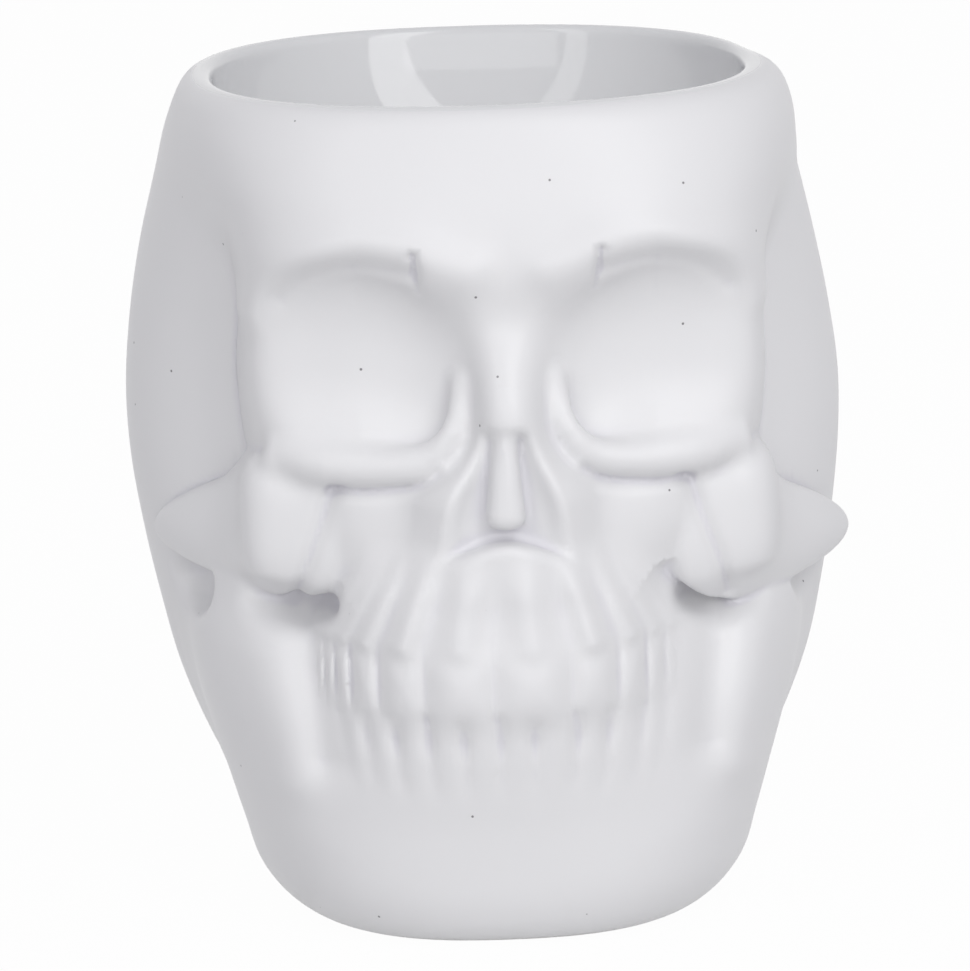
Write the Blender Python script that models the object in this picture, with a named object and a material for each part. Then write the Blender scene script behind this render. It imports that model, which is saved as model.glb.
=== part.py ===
"""Skull oil burner: one hollow ceramic casting.

The clay is described by a signed field in millimetres, negative inside it: plain oval forms joined with
soft blends, with the features of the face added and carved, then the dish, the tealight hollow and its
doorway cut out. The field's surface is turned into one closed mesh and thinned.

+Z is up, the face looks along -Y, and the origin is under the middle of the foot.
"""
from collections import namedtuple
from itertools import product

import bpy
import numpy as np

# Overall sizes, in millimetres
HEIGHT = 112.0
HALF_WIDTH = 49.0
BACK_REACH = 56.0

# Walls, floor, dish and doorway, in millimetres
WALL = 4.5
FLOOR = 6.0
LIP = 3.0
RIM_ROUND = 3.0
DISH_DEPTH = 24.0
DISH_WALL = 4.5
DISH_POWER = 2.35
DISH_ROUND = 2.5
DISH_OVER_RIM = 3.0
DISH_EDGE = 1.5
HOLLOW_FILLET = 4.0
HOLLOW_ROOF_FILLET = 6.0
DOOR_WIDTH = 42.0
DOOR_HEIGHT = 48.0
DOOR_START = 14.0
DOOR_ROUND = 2.5
SILL_ROUND = 2.0
FOOT_ROUND = 4.0
FOOT_RING = 10.0
FOOT_RECESS = 1.5
FOOT_EDGE = 1.0

# Outside of the cranium: how far each level lies inside the widest half width and the full reach
LEVELS = (0.0, 6.0, 12.0, 20.0, 30.0, 40.0, 50.0, 60.0, 68.0, 78.0, 88.0)
SIDE_INSETS = (20.2, 16.0, 13.8, 9.6, 5.6, 3.2, 1.4, 0.2, 0.0, 1.0, 2.8)
BACK_INSETS = (13.0, 9.5, 7.5, 5.2, 3.4, 2.0, 0.8, 0.0, 0.0, 1.0, 3.0)
CRANIUM_FRONTS = (26.0, 27.0, 27.0, 27.0, 26.5, 26.0, 25.5, 25.0, 25.0, 26.5, 30.0)
CROWN_LEVELS = (-14.0, -7.0, 0.0)
CROWN_SIDE_INSETS = (5.2, 7.0, 9.9)
CROWN_BACK_INSETS = (6.0, 8.5, 12.0)
CROWN_FRONTS = (36.0, 38.0, 37.0)
CRANIUM_SEAT = 4.0
CRANIUM_SHIFTS = (0.2, 0.3, 0.3, 0.3, 0.3, 0.2, 0.0, -0.2, -0.3, -0.5, -0.6)
CROWN_SHIFT = -0.5
CRANIUM_POWER = 2.25
BACK_LEVELS = (0.0, 35.0, 75.0)
BACK_POWERS = (3.3, 2.9, 2.3)

# The face sits a little to the right of the cranium's middle
FACE_SHIFT = 1.3

# Flat of the face, from the cheeks up into the forehead
FACE_LEVELS = (50.0, 60.0, 68.0, 76.0, 84.0, 90.0, 96.0)
FACE_HALF_WIDTHS = (32.6, 33.8, 35.0, 35.4, 35.0, 35.8, 37.8)
FACE_FRONTS = (39.0, 40.0, 41.2, 42.2, 43.8, 45.4, 45.2)
FACE_POWERS = (3.2, 3.7, 4.5, 4.9, 4.6, 3.9, 3.2)
FOREHEAD_LEVELS = (-10.0, -5.0, 0.0)
FOREHEAD_HALF_WIDTHS = (39.6, 40.0, 38.4)
FOREHEAD_FRONTS = (44.0, 42.2, 39.5)
FOREHEAD_POWERS = (2.8, 2.6, 2.5)
FACE_BACK = 20.0
FACE_SEAT = -6.0
FACE_BOTTOM = 52.0
TEMPLE_LEVELS = (60.0, 88.0, 100.0)
TEMPLE_FILLETS = (1.2, 1.4, 6.0)

# Lower jaw
JAW_LEVELS = (0.0, 6.0, 12.0, 18.0, 24.0, 32.0, 40.0, 50.0)
JAW_HALF_WIDTHS = (28.4, 33.2, 35.2, 37.0, 38.8, 41.0, 42.0, 41.0)
JAW_FRONTS = (42.5, 45.2, 46.0, 45.4, 44.2, 42.4, 39.5, 35.0)
JAW_BACK = 5.0
JAW_SEAT = -8.0
JAW_POWER = 2.45
JAW_TOP = 50.0
JAW_FILLET = 2.5

# Muzzle that carries the teeth
MUZZLE_CENTRE = (-0.8, -19.0, 36.0)
MUZZLE_RADII = (26.5, 31.0, 31.0)
MUZZLE_POWER = 2.25
MUZZLE_FILLET = 6.0

# Nose: bridge, sides and the pear-shaped opening with its dividing wall
BRIDGE_TOP = (1.0, -34.2, 86.5)
BRIDGE_TIP = (0.2, -42.0, 73.0)
BRIDGE_RADII = (8.4, 6.6)
NOSE_CENTRE = (0.2, -36.5, 60.0)
NOSE_RADII = (12.8, 13.8, 14.5)
NOSE_POWER = 2.2
NOSE_FILLET = 5.0
OPENING_TOP = 70.2
OPENING_FLOOR = 54.6
OPENING_ARCH = 1.0
OPENING_ARCH_HALF = 9.5
OPENING_TOP_HALF = 3.4
OPENING_SPREAD = 7.8
OPENING_FACE = -53.5
OPENING_DEPTH = 8.8
OPENING_ROUND = 1.6
OPENING_EDGE = 1.4
SEPTUM_TOP_HALF = 1.4
SEPTUM_SPREAD = 1.6
SEPTUM_FACE = -48.9
SEPTUM_ROUND = 2.4
SEPTUM_FOOT = 57.2

# Upper jaw beside the nose
MAXILLA_CENTRE = (13.0, -28.5, 58.0)
MAXILLA_RADII = (13.8, 12.4, 10.0)
MAXILLA_POWER = 2.3
MAXILLA_FILLET = 3.0

# Cheekbones: a plate in front and a horn that runs back from it; the right one is set lower
HORN_DROPS = (0.0, 3.2)
PLATE_DROPS = (0.0, 0.8)
PLATE_CENTRE = (26.4, -28.2, 56.6)
PLATE_RADII = (9.6, 8.8, 10.4)
PLATE_POWER = 3.2
PLATE_FOOT = 48.6
PLATE_EDGE = 1.8
HORN_CENTRE = (35.3, -22.4, 53.8)
HORN_RADII = (12.0, 5.6, 7.6)
HORN_POWER = 2.0
HORN_SWEEP = 1.05
HORN_DROOP = 0.16
HORN_TAPER = 0.04
HORN_FILLET = 5.0
CHEEK_FILLET = 0.8
POCKETS = (((30.5, -34.6, 45.8), (8.6, 8.0, 3.8)), ((42.6, -15.5, 45.2), (4.6, 7.0, 4.2)))
POCKET_EDGE = 2.6

# Eye sockets
SOCKET_CENTRE = (19.8, -50.0, 79.2)
SOCKET_RADII = (15.4, 13.2, 13.4)
SOCKET_POWER = 2.9
SOCKET_LEAN = 0.30
SOCKET_BEND = 0.016
SOCKET_BEND_START = 16.0
SOCKET_ROUND = 4.2
ROLL_PATH = ((30.4, -34.6, 65.8), (24.5, -38.0, 65.0), (16.5, -40.4, 65.0), (11.0, -41.8, 66.2), (7.6, -42.6, 70.0),
             (6.0, -40.6, 75.4))
ROLL_RADII = (1.5, 2.1, 2.1, 1.8, 1.3, 1.1)
ROLL_FILLET = 2.6

# Teeth: where each crown ends along X, and the heights of the gum and the bite
UPPER_EDGES = (-25.0, -24.0, -22.6, -20.7, -17.0, -11.0, -2.1, 8.0, 14.4, 18.4, 21.1, 23.0, 24.4)
LOWER_EDGES = (-22.0, -19.0, -15.2, -10.9, -6.3, -1.4, 3.1, 9.0, 13.2, 17.8, 21.0)
TEETH_MIDDLE = -1.3
UPPER_GUM = 42.4
BITE = 31.3
LOWER_GUM = 27.6
UPPER_PROUD = 2.1
UPPER_FADE = 0.065
LOWER_GAP_DEPTH = 0.75
LOWER_GAP_WIDTH = 1.1
CROWN_THICK = 3.0
CROWN_POWER = 3.2
CROWN_OVERLAP = 1.04
CROWN_GAP = 0.5
CROWN_FILLET = 1.5
TEETH_REACH = 13.0
TEETH_FRONT = -12.0
ROOT_TOP = 56.0
ROOT_PROUD = 1.7
LOWER_ROOT_FOOT = 21.5
LOWER_ROOT_DEPTH = 0.3

# Ridges and grooves drawn on the face: points in X and Z, half width and height
Stroke = namedtuple("Stroke", "points width height")
BROW = Stroke(((33.5, 85.0), (28.8, 91.4), (21.0, 95.4), (14.0, 95.4), (8.6, 92.8), (5.4, 91.4)), 3.2, 1.2)
UNDER_BROW = Stroke(((29.0, 87.0), (24.5, 90.4), (18.5, 91.6), (13.0, 90.8)), 1.5, -1.2)
BROW_NOTCH = Stroke(((12.3, 93.6), (11.6, 88.2)), 0.65, -1.0)
ROLL_CREASE = Stroke(((23.5, 61.8), (18.0, 62.0), (12.5, 62.8), (10.0, 64.4)), 1.1, -1.0)
CHEEK_SEAM = Stroke(((22.6, 62.4), (24.0, 60.4), (25.6, 55.6), (27.6, 50.0), (28.8, 45.0)), 1.1, -0.7)
RAMUS_CREASE = Stroke(((27.0, 40.0), (26.0, 32.0), (25.5, 26.0)), 2.6, -0.9)
RAMUS_RIDGE = Stroke(((33.0, 38.0), (31.5, 30.0), (30.0, 22.0)), 3.6, 1.0)
NOSE_ROOT = Stroke(((0.0, 83.5), (6.0, 82.5)), 4.4, -0.7)
STROKES_FROM = (22.0, 30.0)
FACE_STROKES = (NOSE_ROOT, BROW, UNDER_BROW, BROW_NOTCH, ROLL_CREASE, CHEEK_SEAM, RAMUS_CREASE, RAMUS_RIDGE)

# Mesh
CELL = 1.3
TRIANGLES = 10500
MILLIMETRE = 0.001
FAR = 50.0

WHITE_GLAZE = (0.80, 0.80, 0.81, 1.0)


def curve_through(t, stations, values):
    """A smooth curve through the values at the stations, read at t."""
    s = np.asarray(stations, float)
    v = np.asarray(values, float)
    slope = np.gradient(v, s)
    i = np.clip(np.searchsorted(s, t) - 1, 0, len(s) - 2)
    gap = s[i + 1] - s[i]
    f = np.clip((t - s[i]) / gap, 0, 1)
    start = (2 * f ** 3 - 3 * f ** 2 + 1) * v[i] + (f ** 3 - 2 * f ** 2 + f) * gap * slope[i]
    end = (3 * f ** 2 - 2 * f ** 3) * v[i + 1] + (f ** 3 - f ** 2) * gap * slope[i + 1]
    return start + end


def join(a, b, blend):
    """Both solids, with a fillet where they meet."""
    h = np.maximum(blend - np.abs(a - b), 0) / blend
    return np.minimum(a, b) - h * h * blend / 4


def common(a, b, blend):
    """What two solids share, with the edge between them rounded."""
    return -join(-a, -b, blend)


def carve(a, b, blend):
    """The first solid without the second, with a rounded edge."""
    return -join(-a, b, blend)


def rounded_block(x, y, z, centre, radii, power):
    """A solid between an ellipsoid (power 2) and a box (a high power)."""
    u = np.abs(x - centre[0]) / radii[0]
    v = np.abs(y - centre[1]) / radii[1]
    w = np.abs(z - centre[2]) / radii[2]
    size = (u ** power + v ** power + w ** power) ** (1 / power)
    length = np.maximum(np.sqrt(u * u + v * v + w * w), 1e-9)
    slope = np.sqrt((u / radii[0]) ** 2 + (v / radii[1]) ** 2 + (w / radii[2]) ** 2) / length
    return (size - 1) / np.maximum(slope, 1e-6)


def rod(x, y, z, start, end, radii):
    """A round bar from start to end whose radius changes evenly."""
    a = np.asarray(start)
    d = np.asarray(end) - a
    px, py, pz = x - a[0], y - a[1], z - a[2]
    t = np.clip((px * d[0] + py * d[1] + pz * d[2]) / (d @ d), 0, 1)
    away = np.sqrt((px - t * d[0]) ** 2 + (py - t * d[1]) ** 2 + (pz - t * d[2]) ** 2)
    return away - (radii[0] + (radii[1] - radii[0]) * t)


def oval_loft(x, y, z, stations, half_widths, fronts, backs, seat, power):
    """Oval sections up the height, each with its half width and its reach to the front and the back."""
    w = curve_through(z, stations, half_widths)
    across = y - seat
    reach = np.where(across < 0, curve_through(z, stations, fronts) + seat, curve_through(z, stations, backs) - seat)
    size = ((np.abs(x) / w) ** power + (np.abs(across) / reach) ** power) ** (1 / power)
    return (size - 1) * np.sqrt(x * x + across * across) / np.maximum(size, 1e-6)


def smooth_path(path, places):
    """A path through the given points, with more places along it."""
    at = np.linspace(0, 1, places)
    return np.stack([curve_through(at, np.linspace(0, 1, len(path)), line) for line in zip(*path)], 1)


def chain(x, y, z, path, radii, places):
    """A round bar along a smooth path, with a radius at each of the path's points."""
    points = smooth_path([tuple(point) + (radius,) for point, radius in zip(path, radii)], places)
    bars = zip(points[:-1], points[1:])
    return np.min([rod(x, y, z, a[:3], b[:3], (a[3], b[3])) for a, b in bars], axis=0)


def ramp(t, start, end):
    """0 before the start and 1 past the end, smoothly."""
    f = np.clip((t - start) / (end - start), 0, 1)
    return f * f * (3 - 2 * f)


def stroke_at(x, z, stroke):
    """The height of a drawn ridge or groove over the face."""
    nearest = np.full(x.shape, np.inf)
    path = smooth_path(stroke.points, 4 * len(stroke.points))
    for (ax, az), (bx, bz) in zip(path[:-1], path[1:]):
        dx, dz = bx - ax, bz - az
        t = np.clip(((x - ax) * dx + (z - az) * dz) / (dx * dx + dz * dz), 0, 1)
        nearest = np.minimum(nearest, (x - ax - t * dx) ** 2 + (z - az - t * dz) ** 2)
    return stroke.height * np.exp(-nearest / stroke.width ** 2)


def cranium(x, y, z):
    stations = LEVELS + tuple(HEIGHT + level for level in CROWN_LEVELS)
    half_widths = [HALF_WIDTH - inset for inset in SIDE_INSETS + CROWN_SIDE_INSETS]
    backs = [BACK_REACH - inset for inset in BACK_INSETS + CROWN_BACK_INSETS]
    fronts = CRANIUM_FRONTS + CROWN_FRONTS
    shift = curve_through(z, stations, CRANIUM_SHIFTS + (CROWN_SHIFT,) * len(CROWN_LEVELS))
    power = np.where(y < CRANIUM_SEAT, CRANIUM_POWER, curve_through(z, BACK_LEVELS, BACK_POWERS))
    return oval_loft(x - shift, y, z, stations, half_widths, fronts, backs, CRANIUM_SEAT, power)


def face(x, y, z):
    stations = FACE_LEVELS + tuple(HEIGHT + level for level in FOREHEAD_LEVELS)
    half_widths = FACE_HALF_WIDTHS + FOREHEAD_HALF_WIDTHS
    fronts = FACE_FRONTS + FOREHEAD_FRONTS
    backs = [FACE_BACK] * len(stations)
    power = curve_through(z, stations, FACE_POWERS + FOREHEAD_POWERS)
    solid = oval_loft(x - FACE_SHIFT, y, z, stations, half_widths, fronts, backs, FACE_SEAT, power)
    return np.maximum(solid, FACE_BOTTOM - z)


def jaw(x, y, z):
    backs = [JAW_BACK] * len(JAW_LEVELS)
    solid = oval_loft(x, y, z, JAW_LEVELS, JAW_HALF_WIDTHS, JAW_FRONTS, backs, JAW_SEAT, JAW_POWER)
    return np.maximum(solid, z - JAW_TOP)


def muzzle(x, y, z):
    return rounded_block(x, y, z, MUZZLE_CENTRE, MUZZLE_RADII, MUZZLE_POWER)


def plain_head(x, y, z):
    """The skull without its features."""
    fillet = curve_through(z, TEMPLE_LEVELS, TEMPLE_FILLETS)
    solid = join(cranium(x, y, z), face(x, y, z), fillet)
    solid = join(solid, jaw(x, y, z), JAW_FILLET)
    return join(solid, muzzle(x, y, z), MUZZLE_FILLET)


def nose(x, y, z):
    bridge = rod(x, y, z, BRIDGE_TOP, BRIDGE_TIP, BRIDGE_RADII)
    sides = rounded_block(x, y, z, NOSE_CENTRE, NOSE_RADII, NOSE_POWER)
    return join(bridge, sides, NOSE_FILLET)


def nose_opening(x, y, z):
    """Pear-shaped and shallow, with an arched floor, parted by a rounded wall that ends above the floor."""
    across = x - BRIDGE_TIP[0]
    fall = np.clip((OPENING_TOP - z) / (OPENING_TOP - OPENING_FLOOR), 0.0, 1.15)
    half = OPENING_TOP_HALF + OPENING_SPREAD * fall ** 0.9
    size = np.sqrt((across / half) ** 2 + ((y - OPENING_FACE) / OPENING_DEPTH) ** 2)
    arch = np.cos(np.pi * np.clip(across / OPENING_ARCH_HALF, -1, 1))
    cut = common((size - 1) * half, z - OPENING_TOP, OPENING_EDGE)
    cut = common(cut, OPENING_FLOOR + OPENING_ARCH * arch - z, OPENING_EDGE)
    wall = common(np.abs(across) - (SEPTUM_TOP_HALF + SEPTUM_SPREAD * fall), SEPTUM_FACE - y, SEPTUM_ROUND)
    wall = common(wall, SEPTUM_FOOT - z, SEPTUM_ROUND)
    return carve(cut, wall, OPENING_EDGE)


def maxilla(ax, y, z):
    return rounded_block(ax, y, z, MAXILLA_CENTRE, MAXILLA_RADII, MAXILLA_POWER)


def cheekbone(cx, y, z, plate_drop, horn_drop):
    """The plate under the socket, and the horn that sweeps back from it to the temple."""
    low = z + plate_drop
    plate = rounded_block(cx, y, low, PLATE_CENTRE, PLATE_RADII, PLATE_POWER)
    plate = common(plate, PLATE_FOOT - low, PLATE_EDGE)
    out = cx - HORN_CENTRE[0]
    up = (z + horn_drop + HORN_DROOP * out - HORN_CENTRE[2]) * (1 + HORN_TAPER * out) + HORN_CENTRE[2]
    horn = rounded_block(cx, y - HORN_SWEEP * out, up, HORN_CENTRE, HORN_RADII, HORN_POWER)
    return join(plate, horn, HORN_FILLET)


def pockets(ax, y, z):
    """The two hollows under the cheekbone, below its plate and below its horn."""
    return np.minimum(*(rounded_block(ax, y, z, centre, radii, 2.0) for centre, radii in POCKETS))


def socket_roll(ax, y, z):
    """The rounded lower rim of the socket, which turns up beside the nose."""
    return chain(ax, y, z, ROLL_PATH, ROLL_RADII, 15)


def sockets(ax, y, z):
    """Both eye sockets: they lean in at the nose and bend round with the face."""
    lean = SOCKET_LEAN * np.minimum(ax - SOCKET_CENTRE[0], 0)
    bend = SOCKET_BEND * np.maximum(ax - SOCKET_BEND_START, 0) ** 2
    return rounded_block(ax, y - bend, z - lean, SOCKET_CENTRE, SOCKET_RADII, SOCKET_POWER)


def upper_crowns(x, z, depth):
    """A row of tooth crowns that stand proud of the muzzle, less so towards the back."""
    row = np.full(x.shape, FAR)
    middle_height = (BITE + UPPER_GUM) / 2
    for left, right in zip(UPPER_EDGES[:-1], UPPER_EDGES[1:]):
        centre = (left + right) / 2
        proud = UPPER_PROUD - UPPER_FADE * abs(centre - TEETH_MIDDLE)
        u = np.abs(x - centre) / ((right - left) / 2 * CROWN_OVERLAP)
        w = np.abs(z - middle_height) / (UPPER_GUM - middle_height)
        v = np.abs(depth - (proud - CROWN_THICK)) / CROWN_THICK
        size = np.sqrt((u ** CROWN_POWER + w ** CROWN_POWER) ** (2 / CROWN_POWER) + v * v)
        row = join(row, (size - 1) * CROWN_THICK, CROWN_GAP)
    return row


def teeth(x, y, z, depth):
    """The crowns, worked out only near them."""
    solid = np.full(x.shape, FAR)
    near = (y < TEETH_FRONT) & (z > LOWER_ROOT_FOOT) & (z < ROOT_TOP) & (np.abs(depth) < 3 * CROWN_THICK)
    solid[near] = upper_crowns(x[near], z[near], depth[near])
    return solid


def fading(place, reach):
    """1 near the middle of the teeth and 0 a reach away."""
    return max(0.0, 1 - max(0.0, abs(place - TEETH_MIDDLE) - reach) / reach)


def root_ridges(x, z):
    """Ridges over the upper roots, which fan out from the nose, and gaps between the lower teeth."""
    rise = np.zeros(x.shape)
    for left, right in zip(UPPER_EDGES[:-1], UPPER_EDGES[1:]):
        c = (left + right) / 2
        line = ((c, UPPER_GUM), (c * 0.88, UPPER_GUM + 5), (c * 0.78, UPPER_GUM + 9), (c * 0.7, ROOT_TOP))
        rise += stroke_at(x, z, Stroke(line, (right - left) * 0.27 + 0.5, ROOT_PROUD * fading(c, TEETH_REACH)))
    rise *= 1 - ramp(z, ROOT_TOP - 8, ROOT_TOP)
    gaps = np.zeros(x.shape)
    for edge in LOWER_EDGES:
        line = ((edge, BITE + 1), (edge * 0.98, LOWER_GUM), (edge * 0.93, LOWER_ROOT_FOOT))
        gaps += stroke_at(x, z, Stroke(line, LOWER_GAP_WIDTH, fading(edge, TEETH_REACH)))
    depth = LOWER_ROOT_DEPTH + (LOWER_GAP_DEPTH - LOWER_ROOT_DEPTH) * ramp(z, LOWER_GUM - 2, LOWER_GUM + 2)
    return rise - gaps * depth * ramp(z, LOWER_ROOT_FOOT - 2, LOWER_GUM - 2)


def outside(x, y, z):
    """The skull as it is seen from outside, before the dish and the hollow are cut."""
    ax = np.abs(x - FACE_SHIFT)
    right = (x > FACE_SHIFT).astype(int)
    plate_drop = np.take(PLATE_DROPS, right)
    horn_drop = np.take(HORN_DROPS, right)
    solid = join(plain_head(x, y, z), nose(x, y, z), NOSE_FILLET)
    solid = join(solid, maxilla(ax, y, z), MAXILLA_FILLET)
    solid = carve(solid, pockets(ax, y, z + plate_drop), POCKET_EDGE)
    solid = join(solid, cheekbone(ax, y, z, plate_drop, horn_drop), CHEEK_FILLET)
    front = ramp(-y, *STROKES_FROM)
    for stroke in FACE_STROKES:
        solid = solid - front * stroke_at(ax, z, stroke)
    solid = solid - front * root_ridges(x, z)
    solid = carve(solid, sockets(ax, y, z), SOCKET_ROUND)
    solid = join(solid, socket_roll(ax, y, z), ROLL_FILLET)
    solid = join(solid, teeth(x, y, z, muzzle(x, y, z)), CROWN_FILLET)
    solid = carve(solid, nose_opening(x, y, z), OPENING_ROUND)
    solid = common(solid, -z, FOOT_ROUND)
    return common(solid, z - HEIGHT, RIM_ROUND)


def dish(x, y, z):
    """The bowl in the crown: it follows the rim's outline a lip's width inside it."""
    half = HALF_WIDTH - CROWN_SIDE_INSETS[-1] - LIP
    front_end = -FOREHEAD_FRONTS[-1] + LIP
    back_end = BACK_REACH - CROWN_BACK_INSETS[-1] - LIP
    middle = (front_end + back_end) / 2
    reach = (back_end - front_end) / 2
    outline = (np.abs(x) / half) ** DISH_POWER + (np.abs(y - middle) / reach) ** DISH_POWER
    fall = DISH_DEPTH + DISH_OVER_RIM
    down = np.maximum(HEIGHT + DISH_OVER_RIM - z, 0) / fall
    return ((outline ** (DISH_ROUND / DISH_POWER) + down ** DISH_ROUND) ** (1 / DISH_ROUND) - 1) * fall


def chamber(x, y, z):
    """The tealight hollow: a wall inside the plain head, above the floor and below the dish."""
    ax = np.abs(x - FACE_SHIFT)
    space = plain_head(x, y, z) + WALL
    space = common(space, WALL - sockets(ax, y, z), HOLLOW_FILLET)
    space = common(space, WALL - pockets(ax, y, z), HOLLOW_FILLET)
    space = common(space, WALL - nose_opening(x, y, z), HOLLOW_FILLET)
    space = common(space, FLOOR - z, HOLLOW_FILLET)
    space = common(space, z - (HEIGHT - DISH_DEPTH), HOLLOW_ROOF_FILLET)
    return common(space, DISH_WALL - dish(x, y, z), HOLLOW_ROOF_FILLET)


def doorway(x, y, z):
    """An arch through the back wall, its sill level with the chamber's floor."""
    half = DOOR_WIDTH / 2
    spring = FLOOR + DOOR_HEIGHT - half
    arch = np.where(z > spring, np.hypot(x, z - spring), np.abs(x)) - half
    arch = common(arch, FLOOR - z, SILL_ROUND)
    return common(arch, DOOR_START - y, SILL_ROUND)


def foot_recess(x, y, z):
    """The underside inside the foot ring."""
    half = HALF_WIDTH - SIDE_INSETS[0] - FOOT_RING
    back = BACK_REACH - BACK_INSETS[0] - FOOT_RING
    front = JAW_FRONTS[0] - FOOT_RING
    outline = (np.abs(x) / half) ** CRANIUM_POWER + (np.abs(y) / np.where(y < 0, front, back)) ** CRANIUM_POWER
    return common((outline ** (1 / CRANIUM_POWER) - 1) * half, z - FOOT_RECESS, FOOT_EDGE)


def clay(x, y, z):
    solid = carve(outside(x, y, z), dish(x, y, z), DISH_EDGE)
    hollow = join(chamber(x, y, z), doorway(x, y, z), FOOT_EDGE)
    solid = carve(solid, hollow, DOOR_ROUND)
    return carve(solid, foot_recess(x, y, z), FOOT_EDGE)


def field_at(points, chunk=400000):
    """The clay's field at each point, worked out a part at a time."""
    values = np.empty(len(points))
    for start in range(0, len(points), chunk):
        part = points[start:start + chunk]
        values[start:start + chunk] = clay(part[:, 0], part[:, 1], part[:, 2])
    return values


def corners(grid, shape):
    """The eight views of a grid of corners, one for each corner of its cells."""
    for i, j, k in product((0, 1), repeat=3):
        yield grid[i:i + shape[0], j:j + shape[1], k:k + shape[2]]


def sample_grid(low, high, cell, block=4):
    """The field on a grid: every block's corners, and every point of the blocks near the surface."""
    count = [int(np.ceil((b - a) / (cell * block))) for a, b in zip(low, high)]
    axes = [a + np.arange(n + 1) * cell * block for a, n in zip(low, count)]
    places = np.stack([g.ravel() for g in np.meshgrid(*axes, indexing="ij")], 1)
    rough = field_at(places).reshape([n + 1 for n in count])
    nearest = np.min([np.abs(c) for c in corners(rough, count)], axis=0)
    busy = nearest < cell * block * 1.4
    shape = [n * block + 1 for n in count]
    wanted = np.zeros(shape, bool)
    for view in corners(wanted, [s - 1 for s in shape]):
        view |= busy.repeat(block, 0).repeat(block, 1).repeat(block, 2)
    index = [np.minimum(np.round(np.arange(s) / block).astype(int), n) for s, n in zip(shape, count)]
    values = rough[np.ix_(*index)]
    values[wanted] = field_at(np.asarray(low) + np.argwhere(wanted) * cell)
    return values


def diagonal_places(inside):
    """The corners of grid squares and cells where clay, or air, touches itself across a diagonal only."""
    for u, v in ((0, 1), (0, 2), (1, 2)):
        steps = np.array([[s * (a == u) + t * (a == v) for a in range(3)] for s, t in product((0, 1), repeat=2)])
        size = np.array(inside.shape) - steps[3]
        a, b, c, d = (inside[s[0]:s[0] + size[0], s[1]:s[1] + size[1], s[2]:s[2] + size[2]] for s in steps)
        for start in np.argwhere((a & d & ~b & ~c) | (b & c & ~a & ~d)):
            yield start + steps
    steps = np.array(list(product((0, 1), repeat=3)))
    views = list(corners(inside, [s - 1 for s in inside.shape]))
    within = sum(view.astype(np.int8) for view in views)
    for near in range(4):
        pair = views[near], views[7 - near]
        for start in np.argwhere((pair[0] & pair[1] & (within == 2)) | (~pair[0] & ~pair[1] & (within == 6))):
            yield start + steps


def settle_diagonals(values):
    """Fills those places with clay, because two sheets of the surface would share an edge or a point there."""
    barely_inside = -0.001
    for _ in range(6):
        places = list(diagonal_places(values < 0))
        for place in places:
            empty = [tuple(corner) for corner in place if values[tuple(corner)] >= 0]
            if empty:
                values[min(empty, key=lambda corner: values[corner])] = barely_inside
        if not places:
            break
    return values


def surface_points(values, crossed):
    """One point in each crossed cell: the mean of where its edges cross the surface."""
    cells = np.argwhere(crossed)
    total = np.zeros((len(cells), 3))
    hits = np.zeros(len(cells))
    for axis in range(3):
        others = [a for a in range(3) if a != axis]
        for step in product((0, 1), repeat=2):
            start = cells.copy()
            start[:, others] += step
            end = start.copy()
            end[:, axis] += 1
            f, g = values[tuple(start.T)], values[tuple(end.T)]
            hit = (f < 0) != (g < 0)
            point = start.astype(float)
            point[:, axis] += np.where(hit, f / np.where(hit, f - g, 1), 0)
            total[hit] += point[hit]
            hits += hit
    return total / hits[:, None]


def surface_quads(inside, index):
    """A quad round each grid edge that crosses the surface, facing out of the clay."""
    shape = np.array(inside.shape)
    quads = []
    for axis in range(3):
        u, v = (axis + 1) % 3, (axis + 2) % 3
        lower = np.take(inside, range(shape[axis] - 1), axis)
        upper = np.take(inside, range(1, shape[axis]), axis)
        for order, edges in ((1, lower & ~upper), (-1, ~lower & upper)):
            start = np.argwhere(edges)
            ring = []
            for step in ((-1, -1), (0, -1), (0, 0), (-1, 0)):
                cell = start.copy()
                cell[:, [u, v]] += step
                ring.append(index[tuple(cell.T)])
            quads.append(np.stack(ring, 1)[:, ::order])
    return np.concatenate(quads)


def skin(low, high, cell):
    """The surface of the clay as points and quads."""
    values = settle_diagonals(sample_grid(low, high, cell))
    inside = values < 0
    within = sum(view.astype(np.int8) for view in corners(inside, [s - 1 for s in values.shape]))
    crossed = (within > 0) & (within < 8)
    index = np.full(crossed.shape, -1)
    index[crossed] = np.arange(crossed.sum())
    points = np.asarray(low) + surface_points(values, crossed) * cell
    return points, surface_quads(inside, index)


def pull_to_surface(points, rounds, reach):
    """Points moved along the field's slope onto its surface."""
    corners_of = np.array(((1, 1, 1), (1, -1, -1), (-1, 1, -1), (-1, -1, 1)))
    step = 0.02
    for _ in range(rounds):
        values = [field_at(points + corner * step) for corner in corners_of]
        slope = sum(v[:, None] * corner for v, corner in zip(values, corners_of)) / (4 * step)
        move = (sum(values) / 4 / np.maximum((slope ** 2).sum(1), 0.05))[:, None] * slope
        size = np.linalg.norm(move, axis=1, keepdims=True)
        points = points - move * np.minimum(1, reach / np.maximum(size, 1e-9))
    return points


def mesh_points(mesh):
    flat = np.empty(len(mesh.vertices) * 3)
    mesh.vertices.foreach_get("co", flat)
    return flat.reshape(-1, 3)


def seat(points):
    """The foot and the rim made level, and the origin put under the middle of the box."""
    level = 0.05
    points[np.abs(points[:, 2]) < level, 2] = 0.0
    points[np.abs(points[:, 2] - HEIGHT) < level, 2] = HEIGHT
    middle = (points.min(0) + points.max(0)) / 2
    return points - (middle[0], middle[1], 0)


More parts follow.
